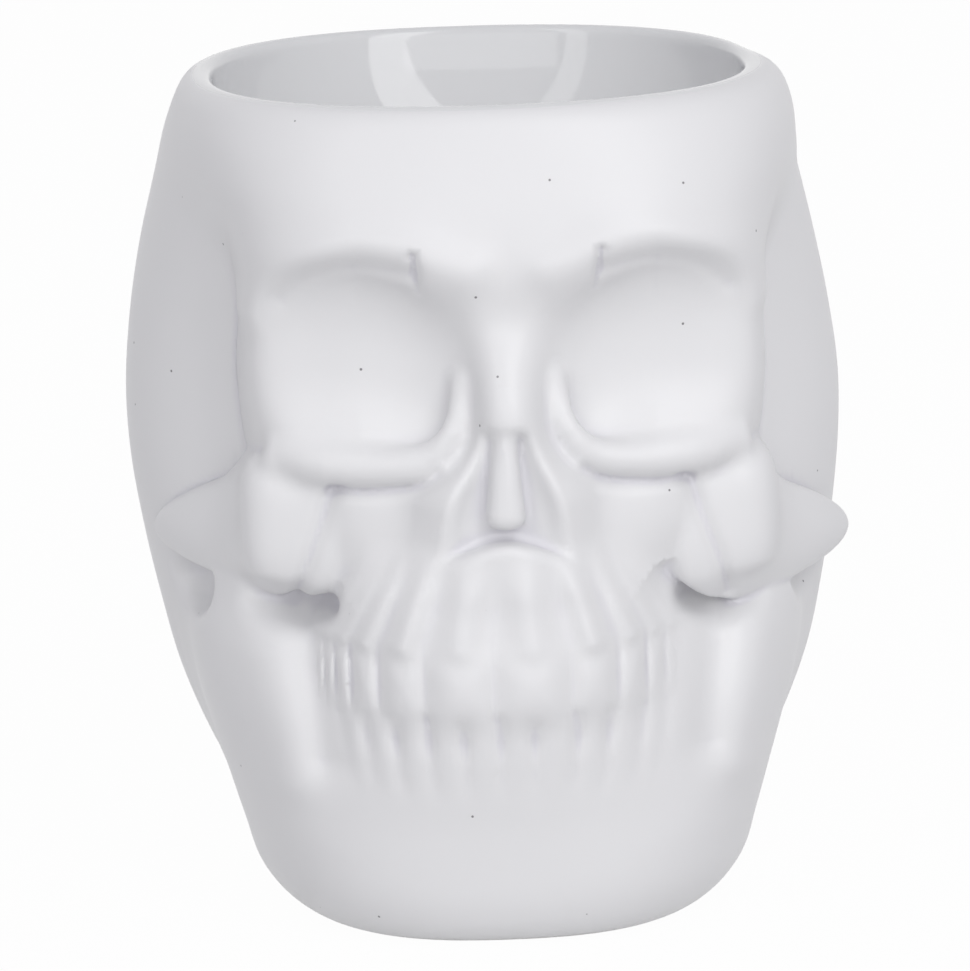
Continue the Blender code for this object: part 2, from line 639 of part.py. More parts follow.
def thin_out(obj, triangles):
    """The mesh thinned to a number of triangles, with its points back on the surface."""
    obj.data.calc_loop_triangles()
    thin = obj.modifiers.new("Thin", "DECIMATE")
    thin.ratio = triangles / len(obj.data.loop_triangles)
    thin.use_collapse_triangulate = True
    evaluated = obj.evaluated_get(bpy.context.evaluated_depsgraph_get())
    obj.data = bpy.data.meshes.new_from_object(evaluated)
    obj.modifiers.clear()


def glaze_material():
    material = bpy.data.materials.new("White glaze")
    material.use_nodes = True
    shader = material.node_tree.nodes["Principled BSDF"]
    shader.inputs["Base Color"].default_value = WHITE_GLAZE
    shader.inputs["Roughness"].default_value = 0.45
    shader.inputs["Metallic"].default_value = 0.0
    return material


def build_body():
    margin = 3.0
    reach = HALF_WIDTH + 2 * margin
    low = (-reach, -reach - margin, -margin)
    high = (reach, BACK_REACH + margin, HEIGHT + margin)
    points, quads = skin(low, high, CELL)
    mesh = bpy.data.meshes.new("burner_body")
    mesh.from_pydata(pull_to_surface(points, 2, CELL / 2).tolist(), [], quads.tolist())
    body = bpy.data.objects.new("burner_body", mesh)
    bpy.context.scene.collection.objects.link(body)
    thin_out(body, TRIANGLES)
    points = seat(pull_to_surface(mesh_points(body.data), 2, CELL / 3))
    body.data.vertices.foreach_set("co", (points * MILLIMETRE).ravel())
    body.data.materials.clear()
    body.data.materials.append(glaze_material())
    body.data.shade_smooth()
    return body


for old in list(bpy.data.objects):
    bpy.data.objects.remove(old)
build_body()
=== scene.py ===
# %% [markdown]
# # Skull oil burner
# The real thing is one piece of slip-cast earthenware under a white glaze: a skull whose crown is cut
# level and opens into a dish for oil or wax. A tealight goes in through an arched doorway at the back. We
# shape the clay as a signed field, turn its surface into a fine mesh, glaze it and light it softly.

# %% Start from the packed part
from collections import namedtuple
from itertools import product
from math import cos, radians, sin
import time

import bpy
import numpy as np
from mathutils import Matrix, Vector


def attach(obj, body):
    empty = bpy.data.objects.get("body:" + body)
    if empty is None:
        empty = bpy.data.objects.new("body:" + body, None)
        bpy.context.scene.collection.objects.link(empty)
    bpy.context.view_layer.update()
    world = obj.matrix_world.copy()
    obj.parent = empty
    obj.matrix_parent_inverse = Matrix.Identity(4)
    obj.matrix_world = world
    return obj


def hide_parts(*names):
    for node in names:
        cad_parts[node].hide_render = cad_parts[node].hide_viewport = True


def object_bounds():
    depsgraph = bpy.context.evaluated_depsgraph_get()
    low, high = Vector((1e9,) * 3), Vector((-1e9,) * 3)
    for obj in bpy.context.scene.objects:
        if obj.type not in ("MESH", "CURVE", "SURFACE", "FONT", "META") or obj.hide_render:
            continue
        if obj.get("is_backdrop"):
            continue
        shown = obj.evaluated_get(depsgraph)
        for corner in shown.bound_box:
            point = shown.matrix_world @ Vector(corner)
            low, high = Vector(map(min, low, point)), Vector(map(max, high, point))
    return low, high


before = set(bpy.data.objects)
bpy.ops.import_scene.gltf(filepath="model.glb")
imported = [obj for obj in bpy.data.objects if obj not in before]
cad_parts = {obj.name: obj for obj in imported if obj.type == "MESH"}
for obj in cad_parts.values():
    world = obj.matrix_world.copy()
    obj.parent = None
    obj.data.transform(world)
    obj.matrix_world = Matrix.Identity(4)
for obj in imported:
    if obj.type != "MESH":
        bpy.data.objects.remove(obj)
cad_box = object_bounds()
began = time.time()
print("part box in metres:", cad_box)

# %% [markdown]
# ## The driving sizes
# Everything below is in millimetres, in the frame the part is drawn in: +Z up, the face along -Y. The
# height comes from what the burner holds, a tealight with air above its flame under a dish. The width and
# the reach of the back follow from the photograph's proportions. The other sizes stand beside the shapes
# that they belong to.

# %% Overall sizes
HEIGHT = 112.0
HALF_WIDTH = 49.0
BACK_REACH = 56.0
MILLIMETRE = 0.001

print("height", HEIGHT, "width", 2 * HALF_WIDTH, "mm")

# %% [markdown]
# ## Solids as fields
# A solid can be written as a function that is negative inside and positive outside. Two such solids are
# joined by taking the smaller value and cut by taking the larger one, and a soft blend in between gives
# the fillets of poured clay. Sculpting by hand, metaballs or the Remesh modifier would also do it, but
# here each fillet and each size stays a number that can be changed.

# %% Joining and cutting
def join(a, b, blend):
    """Both solids, with a fillet where they meet."""
    h = np.maximum(blend - np.abs(a - b), 0) / blend
    return np.minimum(a, b) - h * h * blend / 4


def common(a, b, blend):
    """What two solids share, with the edge between them rounded."""
    return -join(-a, -b, blend)


def carve(a, b, blend):
    """The first solid without the second, with a rounded edge."""
    return -join(-a, b, blend)


apart = np.array([1.0, 3.0])
print("two solids 1 and 3 mm away, joined:", join(apart[0], apart[1], 4.0), "mm away")

# %% [markdown]
# ## Curves and ramps
# Sizes that change up the height are given at a few levels, and a smooth curve runs through them. A ramp
# fades something in between two places.

# %% Curves and ramps
def curve_through(t, stations, values):
    """A smooth curve through the values at the stations, read at t."""
    s = np.asarray(stations, float)
    v = np.asarray(values, float)
    slope = np.gradient(v, s)
    i = np.clip(np.searchsorted(s, t) - 1, 0, len(s) - 2)
    gap = s[i + 1] - s[i]
    f = np.clip((t - s[i]) / gap, 0, 1)
    start = (2 * f ** 3 - 3 * f ** 2 + 1) * v[i] + (f ** 3 - 2 * f ** 2 + f) * gap * slope[i]
    end = (3 * f ** 2 - 2 * f ** 3) * v[i + 1] + (f ** 3 - f ** 2) * gap * slope[i + 1]
    return start + end


def ramp(t, start, end):
    """0 before the start and 1 past the end, smoothly."""
    f = np.clip((t - start) / (end - start), 0, 1)
    return f * f * (3 - 2 * f)


def smooth_path(path, places):
    """A path through the given points, with more places along it."""
    at = np.linspace(0, 1, places)
    return np.stack([curve_through(at, np.linspace(0, 1, len(path)), line) for line in zip(*path)], 1)


print("half way between 10 and 20:", float(curve_through(np.array(5.0), (0, 10), (10, 20))))

# %% [markdown]
# ## The basic solids
# Four kinds of solid are enough for the whole skull: a block with rounded corners, a bar that tapers, a
# chain of such bars along a curve, and ovals stacked up the height. Each returns about the distance to
# its surface.

# %% Blocks and bars
def rounded_block(x, y, z, centre, radii, power):
    """A solid between an ellipsoid (power 2) and a box (a high power)."""
    u = np.abs(x - centre[0]) / radii[0]
    v = np.abs(y - centre[1]) / radii[1]
    w = np.abs(z - centre[2]) / radii[2]
    size = (u ** power + v ** power + w ** power) ** (1 / power)
    length = np.maximum(np.sqrt(u * u + v * v + w * w), 1e-9)
    slope = np.sqrt((u / radii[0]) ** 2 + (v / radii[1]) ** 2 + (w / radii[2]) ** 2) / length
    return (size - 1) / np.maximum(slope, 1e-6)


def rod(x, y, z, start, end, radii):
    """A round bar from start to end whose radius changes evenly."""
    a = np.asarray(start)
    d = np.asarray(end) - a
    px, py, pz = x - a[0], y - a[1], z - a[2]
    t = np.clip((px * d[0] + py * d[1] + pz * d[2]) / (d @ d), 0, 1)
    away = np.sqrt((px - t * d[0]) ** 2 + (py - t * d[1]) ** 2 + (pz - t * d[2]) ** 2)
    return away - (radii[0] + (radii[1] - radii[0]) * t)


def chain(x, y, z, path, radii, places):
    """A round bar along a smooth path, with a radius at each of the path's points."""
    points = smooth_path([tuple(point) + (radius,) for point, radius in zip(path, radii)], places)
    bars = zip(points[:-1], points[1:])
    return np.min([rod(x, y, z, a[:3], b[:3], (a[3], b[3])) for a, b in bars], axis=0)


ball = rounded_block(13.0, 0.0, 0.0, (0, 0, 0), (10, 10, 10), 2.0)
print("13 mm from the middle of a 10 mm ball is", round(float(ball), 2), "mm outside it")

# %% Ovals up the height
def oval_loft(x, y, z, stations, half_widths, fronts, backs, seat, power):
    """Oval sections up the height, each with its half width and its reach to the front and the back."""
    w = curve_through(z, stations, half_widths)
    across = y - seat
    front = curve_through(z, stations, fronts) + seat
    back = curve_through(z, stations, backs) - seat
    reach = np.where(across < 0, front, back)
    size = ((np.abs(x) / w) ** power + (np.abs(across) / reach) ** power) ** (1 / power)
    return (size - 1) * np.sqrt(x * x + across * across) / np.maximum(size, 1e-6)


MEASURE_REACH = 80.0
MEASURE_STEP = 0.1


def extent(solid, height, across=(1.0, 0.0), start=0.0):
    """How far a solid reaches at a height, in a direction seen from above."""
    far = np.arange(0.0, MEASURE_REACH, MEASURE_STEP)
    x, y = far * across[0], start + far * across[1]
    inside = solid(x, y, np.full(far.shape, height)) < 0
    return round(float(far[inside].max()), 1) if inside.any() else 0.0


ball_reach = extent(lambda x, y, z: rounded_block(x, y, z, (0, 0, 0), (10, 10, 10), 2.0), 0.0)
print("a 10 mm ball reaches", ball_reach, "mm, measured in steps of", MEASURE_STEP, "mm")

# %% [markdown]
# ## Cranium
# The largest form is the egg-shaped brain case. It is widest at three fifths of the height, and the crown
# is cut off level. Towards the foot the back is squarer, which leaves a flat wall for the doorway.

# %% Cranium
# Outside of the cranium: how far each level lies inside the widest half width and the full reach
LEVELS = (0.0, 6.0, 12.0, 20.0, 30.0, 40.0, 50.0, 60.0, 68.0, 78.0, 88.0)
WIDEST_LEVEL = 68.0
SIDE_INSETS = (20.2, 16.0, 13.8, 9.6, 5.6, 3.2, 1.4, 0.2, 0.0, 1.0, 2.8)
BACK_INSETS = (13.0, 9.5, 7.5, 5.2, 3.4, 2.0, 0.8, 0.0, 0.0, 1.0, 3.0)
CRANIUM_FRONTS = (26.0, 27.0, 27.0, 27.0, 26.5, 26.0, 25.5, 25.0, 25.0, 26.5, 30.0)
CROWN_LEVELS = (-14.0, -7.0, 0.0)
CROWN_SIDE_INSETS = (5.2, 7.0, 9.9)
CROWN_BACK_INSETS = (6.0, 8.5, 12.0)
CROWN_FRONTS = (36.0, 38.0, 37.0)
CRANIUM_SEAT = 4.0
CRANIUM_SHIFTS = (0.2, 0.3, 0.3, 0.3, 0.3, 0.2, 0.0, -0.2, -0.3, -0.5, -0.6)
CROWN_SHIFT = -0.5
CRANIUM_POWER = 2.25
BACK_LEVELS = (0.0, 35.0, 75.0)
BACK_POWERS = (3.3, 2.9, 2.3)


def cranium(x, y, z):
    stations = LEVELS + tuple(HEIGHT + level for level in CROWN_LEVELS)
    half_widths = [HALF_WIDTH - inset for inset in SIDE_INSETS + CROWN_SIDE_INSETS]
    backs = [BACK_REACH - inset for inset in BACK_INSETS + CROWN_BACK_INSETS]
    fronts = CRANIUM_FRONTS + CROWN_FRONTS
    shift = curve_through(z, stations, CRANIUM_SHIFTS + (CROWN_SHIFT,) * len(CROWN_LEVELS))
    power = np.where(y < CRANIUM_SEAT, CRANIUM_POWER, curve_through(z, BACK_LEVELS, BACK_POWERS))
    return oval_loft(x - shift, y, z, stations, half_widths, fronts, backs, CRANIUM_SEAT, power)


back_reach = extent(cranium, WIDEST_LEVEL, (0.0, 1.0))
print("cranium at its widest level:", extent(cranium, WIDEST_LEVEL), "mm to a side,", back_reach, "mm back")

# %% [markdown]
# ## The flat of the face
# From the cheeks up, the face is flatter and squarer than the cranium, with a crisp step to the temples
# that softens into the forehead. It sits a little to one side, as the casting's face does.

# %% Face
# The face sits a little to the right of the cranium's middle
FACE_SHIFT = 1.3

# Flat of the face, from the cheeks up into the forehead
FACE_LEVELS = (50.0, 60.0, 68.0, 76.0, 84.0, 90.0, 96.0)
FACE_HALF_WIDTHS = (32.6, 33.8, 35.0, 35.4, 35.0, 35.8, 37.8)
FACE_FRONTS = (39.0, 40.0, 41.2, 42.2, 43.8, 45.4, 45.2)
FACE_POWERS = (3.2, 3.7, 4.5, 4.9, 4.6, 3.9, 3.2)
FOREHEAD_LEVELS = (-10.0, -5.0, 0.0)
FOREHEAD_HALF_WIDTHS = (39.6, 40.0, 38.4)
FOREHEAD_FRONTS = (44.0, 42.2, 39.5)
FOREHEAD_POWERS = (2.8, 2.6, 2.5)
FACE_BACK = 20.0
FACE_SEAT = -6.0
FACE_BOTTOM = 52.0
TEMPLE_LEVELS = (60.0, 88.0, 100.0)
TEMPLE_FILLETS = (1.2, 1.4, 6.0)


def face(x, y, z):
    stations = FACE_LEVELS + tuple(HEIGHT + level for level in FOREHEAD_LEVELS)
    half_widths = FACE_HALF_WIDTHS + FOREHEAD_HALF_WIDTHS
    fronts = FACE_FRONTS + FOREHEAD_FRONTS
    backs = [FACE_BACK] * len(stations)
    power = curve_through(z, stations, FACE_POWERS + FOREHEAD_POWERS)
    solid = oval_loft(x - FACE_SHIFT, y, z, stations, half_widths, fronts, backs, FACE_SEAT, power)
    return np.maximum(solid, FACE_BOTTOM - z)


print("the face stands out", extent(face, 84.0, (0.0, -1.0)), "mm at the brows")

# %% [markdown]
# ## Jaw and muzzle
# The lower jaw narrows to the foot, and a swollen muzzle carries the teeth. Joined with the cranium and
# the face they make the plain head, which is used twice: the features go on it, and the hollow follows it
# from inside.

# %% Jaw, muzzle and plain head
# Lower jaw
JAW_LEVELS = (0.0, 6.0, 12.0, 18.0, 24.0, 32.0, 40.0, 50.0)
JAW_HALF_WIDTHS = (28.4, 33.2, 35.2, 37.0, 38.8, 41.0, 42.0, 41.0)
JAW_FRONTS = (42.5, 45.2, 46.0, 45.4, 44.2, 42.4, 39.5, 35.0)
JAW_BACK = 5.0
JAW_SEAT = -8.0
JAW_POWER = 2.45
JAW_TOP = 50.0
JAW_FILLET = 2.5

# Muzzle that carries the teeth
MUZZLE_CENTRE = (-0.8, -19.0, 36.0)
MUZZLE_RADII = (26.5, 31.0, 31.0)
MUZZLE_POWER = 2.25
MUZZLE_FILLET = 6.0


def jaw(x, y, z):
    backs = [JAW_BACK] * len(JAW_LEVELS)
    solid = oval_loft(x, y, z, JAW_LEVELS, JAW_HALF_WIDTHS, JAW_FRONTS, backs, JAW_SEAT, JAW_POWER)
    return np.maximum(solid, z - JAW_TOP)


def muzzle(x, y, z):
    return rounded_block(x, y, z, MUZZLE_CENTRE, MUZZLE_RADII, MUZZLE_POWER)


def plain_head(x, y, z):
    """The skull without its features."""
    fillet = curve_through(z, TEMPLE_LEVELS, TEMPLE_FILLETS)
    solid = join(cranium(x, y, z), face(x, y, z), fillet)
    solid = join(solid, jaw(x, y, z), JAW_FILLET)
    return join(solid, muzzle(x, y, z), MUZZLE_FILLET)


print("plain head at the teeth:", extent(plain_head, 36.0, (0.0, -1.0)), "mm forward")

# %% [markdown]
# ## Nose
# A short bridge ends in a tip that overhangs the opening. The opening is a pear-shaped hollow with an
# arched floor, parted by a wall that widens downward.

# %% Nose
# Bridge, sides and the pear-shaped opening with its dividing wall
BRIDGE_TOP = (1.0, -34.2, 86.5)
BRIDGE_TIP = (0.2, -42.0, 73.0)
BRIDGE_RADII = (8.4, 6.6)
NOSE_CENTRE = (0.2, -36.5, 60.0)
NOSE_RADII = (12.8, 13.8, 14.5)
NOSE_POWER = 2.2
NOSE_FILLET = 5.0
OPENING_TOP = 70.2
OPENING_FLOOR = 54.6
OPENING_ARCH = 1.0
OPENING_ARCH_HALF = 9.5
OPENING_TOP_HALF = 3.4
OPENING_SPREAD = 7.8
OPENING_SPREAD_POWER = 0.9
OPENING_MOST_FALL = 1.15
OPENING_FACE = -53.5
OPENING_DEPTH = 8.8
OPENING_ROUND = 1.6
OPENING_EDGE = 1.4
SEPTUM_TOP_HALF = 1.4
SEPTUM_SPREAD = 1.6
SEPTUM_FACE = -48.9
SEPTUM_ROUND = 2.4
SEPTUM_FOOT = 57.2


def nose(x, y, z):
    bridge = rod(x, y, z, BRIDGE_TOP, BRIDGE_TIP, BRIDGE_RADII)
    sides = rounded_block(x, y, z, NOSE_CENTRE, NOSE_RADII, NOSE_POWER)
    return join(bridge, sides, NOSE_FILLET)


def nose_opening(x, y, z):
    """Pear-shaped and shallow, with an arched floor, parted by a rounded wall that ends above the floor."""
    across = x - BRIDGE_TIP[0]
    fall = np.clip((OPENING_TOP - z) / (OPENING_TOP - OPENING_FLOOR), 0.0, OPENING_MOST_FALL)
    half = OPENING_TOP_HALF + OPENING_SPREAD * fall ** OPENING_SPREAD_POWER
    size = np.sqrt((across / half) ** 2 + ((y - OPENING_FACE) / OPENING_DEPTH) ** 2)
    arch = np.cos(np.pi * np.clip(across / OPENING_ARCH_HALF, -1, 1))
    cut = common((size - 1) * half, z - OPENING_TOP, OPENING_EDGE)
    cut = common(cut, OPENING_FLOOR + OPENING_ARCH * arch - z, OPENING_EDGE)
    wall = common(np.abs(across) - (SEPTUM_TOP_HALF + SEPTUM_SPREAD * fall), SEPTUM_FACE - y, SEPTUM_ROUND)
    wall = common(wall, SEPTUM_FOOT - z, SEPTUM_ROUND)
    return carve(cut, wall, OPENING_EDGE)


print("nose tip reaches", extent(nose, 73.5, (0.0, -1.0)), "mm forward")

# %% [markdown]
# ## Cheekbones
# Under each socket is a plate, and a horn sweeps back from it to the temple and tapers to a point. Two
# pockets lie in the shade below them. The right cheekbone is set lower, as on the real casting.

# %% Cheekbones
# Upper jaw beside the nose
MAXILLA_CENTRE = (13.0, -28.5, 58.0)
MAXILLA_RADII = (13.8, 12.4, 10.0)
MAXILLA_POWER = 2.3
MAXILLA_FILLET = 3.0

# Cheekbones: a plate in front and a horn that runs back from it; the right one is set lower
HORN_DROPS = (0.0, 3.2)
PLATE_DROPS = (0.0, 0.8)
PLATE_CENTRE = (26.4, -28.2, 56.6)
PLATE_RADII = (9.6, 8.8, 10.4)
PLATE_POWER = 3.2
PLATE_FOOT = 48.6
PLATE_EDGE = 1.8
HORN_CENTRE = (35.3, -22.4, 53.8)
HORN_RADII = (12.0, 5.6, 7.6)
HORN_POWER = 2.0
HORN_SWEEP = 1.05
HORN_DROOP = 0.16
HORN_TAPER = 0.04
HORN_FILLET = 5.0
CHEEK_FILLET = 0.8
POCKETS = (((30.5, -34.6, 45.8), (8.6, 8.0, 3.8)), ((42.6, -15.5, 45.2), (4.6, 7.0, 4.2)))
POCKET_EDGE = 2.6


def maxilla(ax, y, z):
    return rounded_block(ax, y, z, MAXILLA_CENTRE, MAXILLA_RADII, MAXILLA_POWER)


def cheekbone(cx, y, z, plate_drop, horn_drop):
    """The plate under the socket, and the horn that sweeps back from it to the temple."""
    low = z + plate_drop
    plate = rounded_block(cx, y, low, PLATE_CENTRE, PLATE_RADII, PLATE_POWER)
    plate = common(plate, PLATE_FOOT - low, PLATE_EDGE)
    out = cx - HORN_CENTRE[0]
    up = (z + horn_drop + HORN_DROOP * out - HORN_CENTRE[2]) * (1 + HORN_TAPER * out) + HORN_CENTRE[2]
    horn = rounded_block(cx, y - HORN_SWEEP * out, up, HORN_CENTRE, HORN_RADII, HORN_POWER)
    return join(plate, horn, HORN_FILLET)


def pockets(ax, y, z):
    """The two hollows under the cheekbone, below its plate and below its horn."""
    return np.minimum(*(rounded_block(ax, y, z, centre, radii, 2.0) for centre, radii in POCKETS))


horn = extent(lambda x, y, z: cheekbone(x, y, z, 0.0, 0.0), 53.0, (1.0, 0.0), start=-9.0)
print("a horn's tip is", horn, "mm from the face's middle")

# %% [markdown]
# ## Eye sockets
# The sockets are shallow bowls that lean in at the nose and bend round with the face. A rounded roll runs
# along each lower rim and turns up beside the nose.

# %% Eye sockets
SOCKET_CENTRE = (19.8, -50.0, 79.2)
SOCKET_RADII = (15.4, 13.2, 13.4)
SOCKET_POWER = 2.9
SOCKET_LEAN = 0.30
SOCKET_BEND = 0.016
SOCKET_BEND_START = 16.0
SOCKET_ROUND = 4.2
ROLL_PATH = (
    (30.4, -34.6, 65.8), (24.5, -38.0, 65.0), (16.5, -40.4, 65.0),
    (11.0, -41.8, 66.2), (7.6, -42.6, 70.0), (6.0, -40.6, 75.4))
ROLL_RADII = (1.5, 2.1, 2.1, 1.8, 1.3, 1.1)
ROLL_FILLET = 2.6
ROLL_PLACES = 15


def sockets(ax, y, z):
    """Both eye sockets: they lean in at the nose and bend round with the face."""
    lean = SOCKET_LEAN * np.minimum(ax - SOCKET_CENTRE[0], 0)
    bend = SOCKET_BEND * np.maximum(ax - SOCKET_BEND_START, 0) ** 2
    return rounded_block(ax, y - bend, z - lean, SOCKET_CENTRE, SOCKET_RADII, SOCKET_POWER)


def socket_roll(ax, y, z):
    """The rounded lower rim of the socket, which turns up beside the nose."""
    return chain(ax, y, z, ROLL_PATH, ROLL_RADII, ROLL_PLACES)


deep = extent(face, SOCKET_CENTRE[2], (0.0, -1.0)) + SOCKET_CENTRE[1] + SOCKET_RADII[1]
print("the sockets are", round(deep, 1), "mm deep")

# %% [markdown]
# ## Teeth
# Each upper crown is a small rounded block that stands proud of the muzzle, less so towards the back. The
# lower teeth are only told apart by the gaps between them.

# %% Teeth
# Where each crown ends along X, and the heights of the gum and the bite
UPPER_EDGES = (-25.0, -24.0, -22.6, -20.7, -17.0, -11.0, -2.1, 8.0, 14.4, 18.4, 21.1, 23.0, 24.4)
LOWER_EDGES = (-22.0, -19.0, -15.2, -10.9, -6.3, -1.4, 3.1, 9.0, 13.2, 17.8, 21.0)
TEETH_MIDDLE = -1.3
UPPER_GUM = 42.4
BITE = 31.3
LOWER_GUM = 27.6
UPPER_PROUD = 2.1
UPPER_FADE = 0.065
LOWER_GAP_DEPTH = 0.75
LOWER_GAP_WIDTH = 1.1
CROWN_THICK = 3.0
CROWN_POWER = 3.2
CROWN_OVERLAP = 1.04
CROWN_GAP = 0.5
CROWN_FILLET = 1.5
TEETH_REACH = 13.0
TEETH_FRONT = -12.0
ROOT_TOP = 56.0
ROOT_PROUD = 1.7
LOWER_ROOT_FOOT = 21.5
LOWER_ROOT_DEPTH = 0.3

# A distance that stands for nothing being near
FAR = 50.0


def upper_crowns(x, z, depth):
    """A row of tooth crowns that stand proud of the muzzle, less so towards the back."""
    row = np.full(x.shape, FAR)
    middle_height = (BITE + UPPER_GUM) / 2
    for left, right in zip(UPPER_EDGES[:-1], UPPER_EDGES[1:]):
        centre = (left + right) / 2
        proud = UPPER_PROUD - UPPER_FADE * abs(centre - TEETH_MIDDLE)
        u = np.abs(x - centre) / ((right - left) / 2 * CROWN_OVERLAP)
        w = np.abs(z - middle_height) / (UPPER_GUM - middle_height)
        v = np.abs(depth - (proud - CROWN_THICK)) / CROWN_THICK
        size = np.sqrt((u ** CROWN_POWER + w ** CROWN_POWER) ** (2 / CROWN_POWER) + v * v)
        row = join(row, (size - 1) * CROWN_THICK, CROWN_GAP)
    return row


def teeth(x, y, z, depth):
    """The crowns, worked out only near them."""
    solid = np.full(x.shape, FAR)
    near = (y < TEETH_FRONT) & (z > LOWER_ROOT_FOOT) & (z < ROOT_TOP) & (np.abs(depth) < 3 * CROWN_THICK)
    solid[near] = upper_crowns(x[near], z[near], depth[near])
    return solid


print(len(UPPER_EDGES) - 1, "upper crowns and", len(LOWER_EDGES) - 1, "lower ones")

# %% [markdown]
# ## Strokes
# Ridges and creases are drawn like strokes with a brush: lines on the face that raise or lower the
# surface by a bell-shaped amount. The roots of the teeth are such strokes too, one for each tooth, so
# they come from a loop.

# %% Strokes on the face
# Ridges and grooves drawn on the face: points in X and Z, half width and height
Stroke = namedtuple("Stroke", "points width height")
BROW = Stroke(((33.5, 85.0), (28.8, 91.4), (21.0, 95.4), (14.0, 95.4), (8.6, 92.8), (5.4, 91.4)), 3.2, 1.2)
UNDER_BROW = Stroke(((29.0, 87.0), (24.5, 90.4), (18.5, 91.6), (13.0, 90.8)), 1.5, -1.2)
BROW_NOTCH = Stroke(((12.3, 93.6), (11.6, 88.2)), 0.65, -1.0)
ROLL_CREASE = Stroke(((23.5, 61.8), (18.0, 62.0), (12.5, 62.8), (10.0, 64.4)), 1.1, -1.0)
CHEEK_SEAM = Stroke(((22.6, 62.4), (24.0, 60.4), (25.6, 55.6), (27.6, 50.0), (28.8, 45.0)), 1.1, -0.7)
RAMUS_CREASE = Stroke(((27.0, 40.0), (26.0, 32.0), (25.5, 26.0)), 2.6, -0.9)
RAMUS_RIDGE = Stroke(((33.0, 38.0), (31.5, 30.0), (30.0, 22.0)), 3.6, 1.0)
NOSE_ROOT = Stroke(((0.0, 83.5), (6.0, 82.5)), 4.4, -0.7)
STROKES_FROM = (22.0, 30.0)
FACE_STROKES = (NOSE_ROOT, BROW, UNDER_BROW, BROW_NOTCH, ROLL_CREASE, CHEEK_SEAM, RAMUS_CREASE, RAMUS_RIDGE)


def stroke_at(x, z, stroke):
    """The height of a drawn ridge or groove over the face."""
    nearest = np.full(x.shape, np.inf)
    path = smooth_path(stroke.points, 4 * len(stroke.points))
    for (ax, az), (bx, bz) in zip(path[:-1], path[1:]):
        dx, dz = bx - ax, bz - az
        t = np.clip(((x - ax) * dx + (z - az) * dz) / (dx * dx + dz * dz), 0, 1)
        nearest = np.minimum(nearest, (x - ax - t * dx) ** 2 + (z - az - t * dz) ** 2)
    return stroke.height * np.exp(-nearest / stroke.width ** 2)


print(len(FACE_STROKES), "strokes on each side of the face")

# %% Roots of the teeth
# A root's line: how high above the gum its points are, and how far each leans to the middle
ROOT_RISES = (5.0, 9.0)
ROOT_LEANS = (0.88, 0.78, 0.7)
ROOT_SHARE = 0.27
ROOT_LEAST = 0.5
ROOT_FADE = 8.0
GAP_OVER_BITE = 1.0
GAP_LEANS = (0.98, 0.93)
GAP_FADE = 2.0


def fading(place, reach):
    """1 near the middle of the teeth and 0 a reach away."""
    return max(0.0, 1 - max(0.0, abs(place - TEETH_MIDDLE) - reach) / reach)


def root_ridges(x, z):
    """Ridges over the upper roots, which fan out from the nose, and gaps between the lower teeth."""
    rise = np.zeros(x.shape)
    for left, right in zip(UPPER_EDGES[:-1], UPPER_EDGES[1:]):
        c = (left + right) / 2
        heights = (UPPER_GUM, UPPER_GUM + ROOT_RISES[0], UPPER_GUM + ROOT_RISES[1], ROOT_TOP)
        line = tuple(zip((c, *(c * lean for lean in ROOT_LEANS)), heights))
        root = Stroke(line, (right - left) * ROOT_SHARE + ROOT_LEAST, ROOT_PROUD * fading(c, TEETH_REACH))
        rise += stroke_at(x, z, root)
    rise *= 1 - ramp(z, ROOT_TOP - ROOT_FADE, ROOT_TOP)
    gaps = np.zeros(x.shape)
    for edge in LOWER_EDGES:
        heights = (BITE + GAP_OVER_BITE, LOWER_GUM, LOWER_ROOT_FOOT)
        line = tuple(zip((edge, *(edge * lean for lean in GAP_LEANS)), heights))
        gaps += stroke_at(x, z, Stroke(line, LOWER_GAP_WIDTH, fading(edge, TEETH_REACH)))
    at_gum = ramp(z, LOWER_GUM - GAP_FADE, LOWER_GUM + GAP_FADE)
    depth = LOWER_ROOT_DEPTH + (LOWER_GAP_DEPTH - LOWER_ROOT_DEPTH) * at_gum
    return rise - gaps * depth * ramp(z, LOWER_ROOT_FOOT - GAP_FADE, LOWER_GUM - GAP_FADE)


roots = root_ridges(np.linspace(-25, 25, 200), np.full(200, UPPER_GUM + 4))
print("the tallest root stands", round(float(roots.max()), 2), "mm proud")

# %% [markdown]
# ## The outside
# All of it is put together in the order in which a modeller would: the large forms, the cheekbones, the
# strokes, the sockets with their rolls, then the teeth and the nose. The foot and the rim are cut level
# and rounded.

# %% All of the outside
RIM_ROUND = 3.0
FOOT_ROUND = 4.0


def outside(x, y, z):
    """The skull as it is seen from outside, before the dish and the hollow are cut."""
    ax = np.abs(x - FACE_SHIFT)
    right = (x > FACE_SHIFT).astype(int)
    plate_drop = np.take(PLATE_DROPS, right)
    horn_drop = np.take(HORN_DROPS, right)
    solid = join(plain_head(x, y, z), nose(x, y, z), NOSE_FILLET)
    solid = join(solid, maxilla(ax, y, z), MAXILLA_FILLET)
    solid = carve(solid, pockets(ax, y, z + plate_drop), POCKET_EDGE)
    solid = join(solid, cheekbone(ax, y, z, plate_drop, horn_drop), CHEEK_FILLET)
    front = ramp(-y, *STROKES_FROM)
    for stroke in FACE_STROKES:
        solid = solid - front * stroke_at(ax, z, stroke)
    solid = solid - front * root_ridges(x, z)
    solid = carve(solid, sockets(ax, y, z), SOCKET_ROUND)
    solid = join(solid, socket_roll(ax, y, z), ROLL_FILLET)
    solid = join(solid, teeth(x, y, z, muzzle(x, y, z)), CROWN_FILLET)
    solid = carve(solid, nose_opening(x, y, z), OPENING_ROUND)
    solid = common(solid, -z, FOOT_ROUND)
    return common(solid, z - HEIGHT, RIM_ROUND)


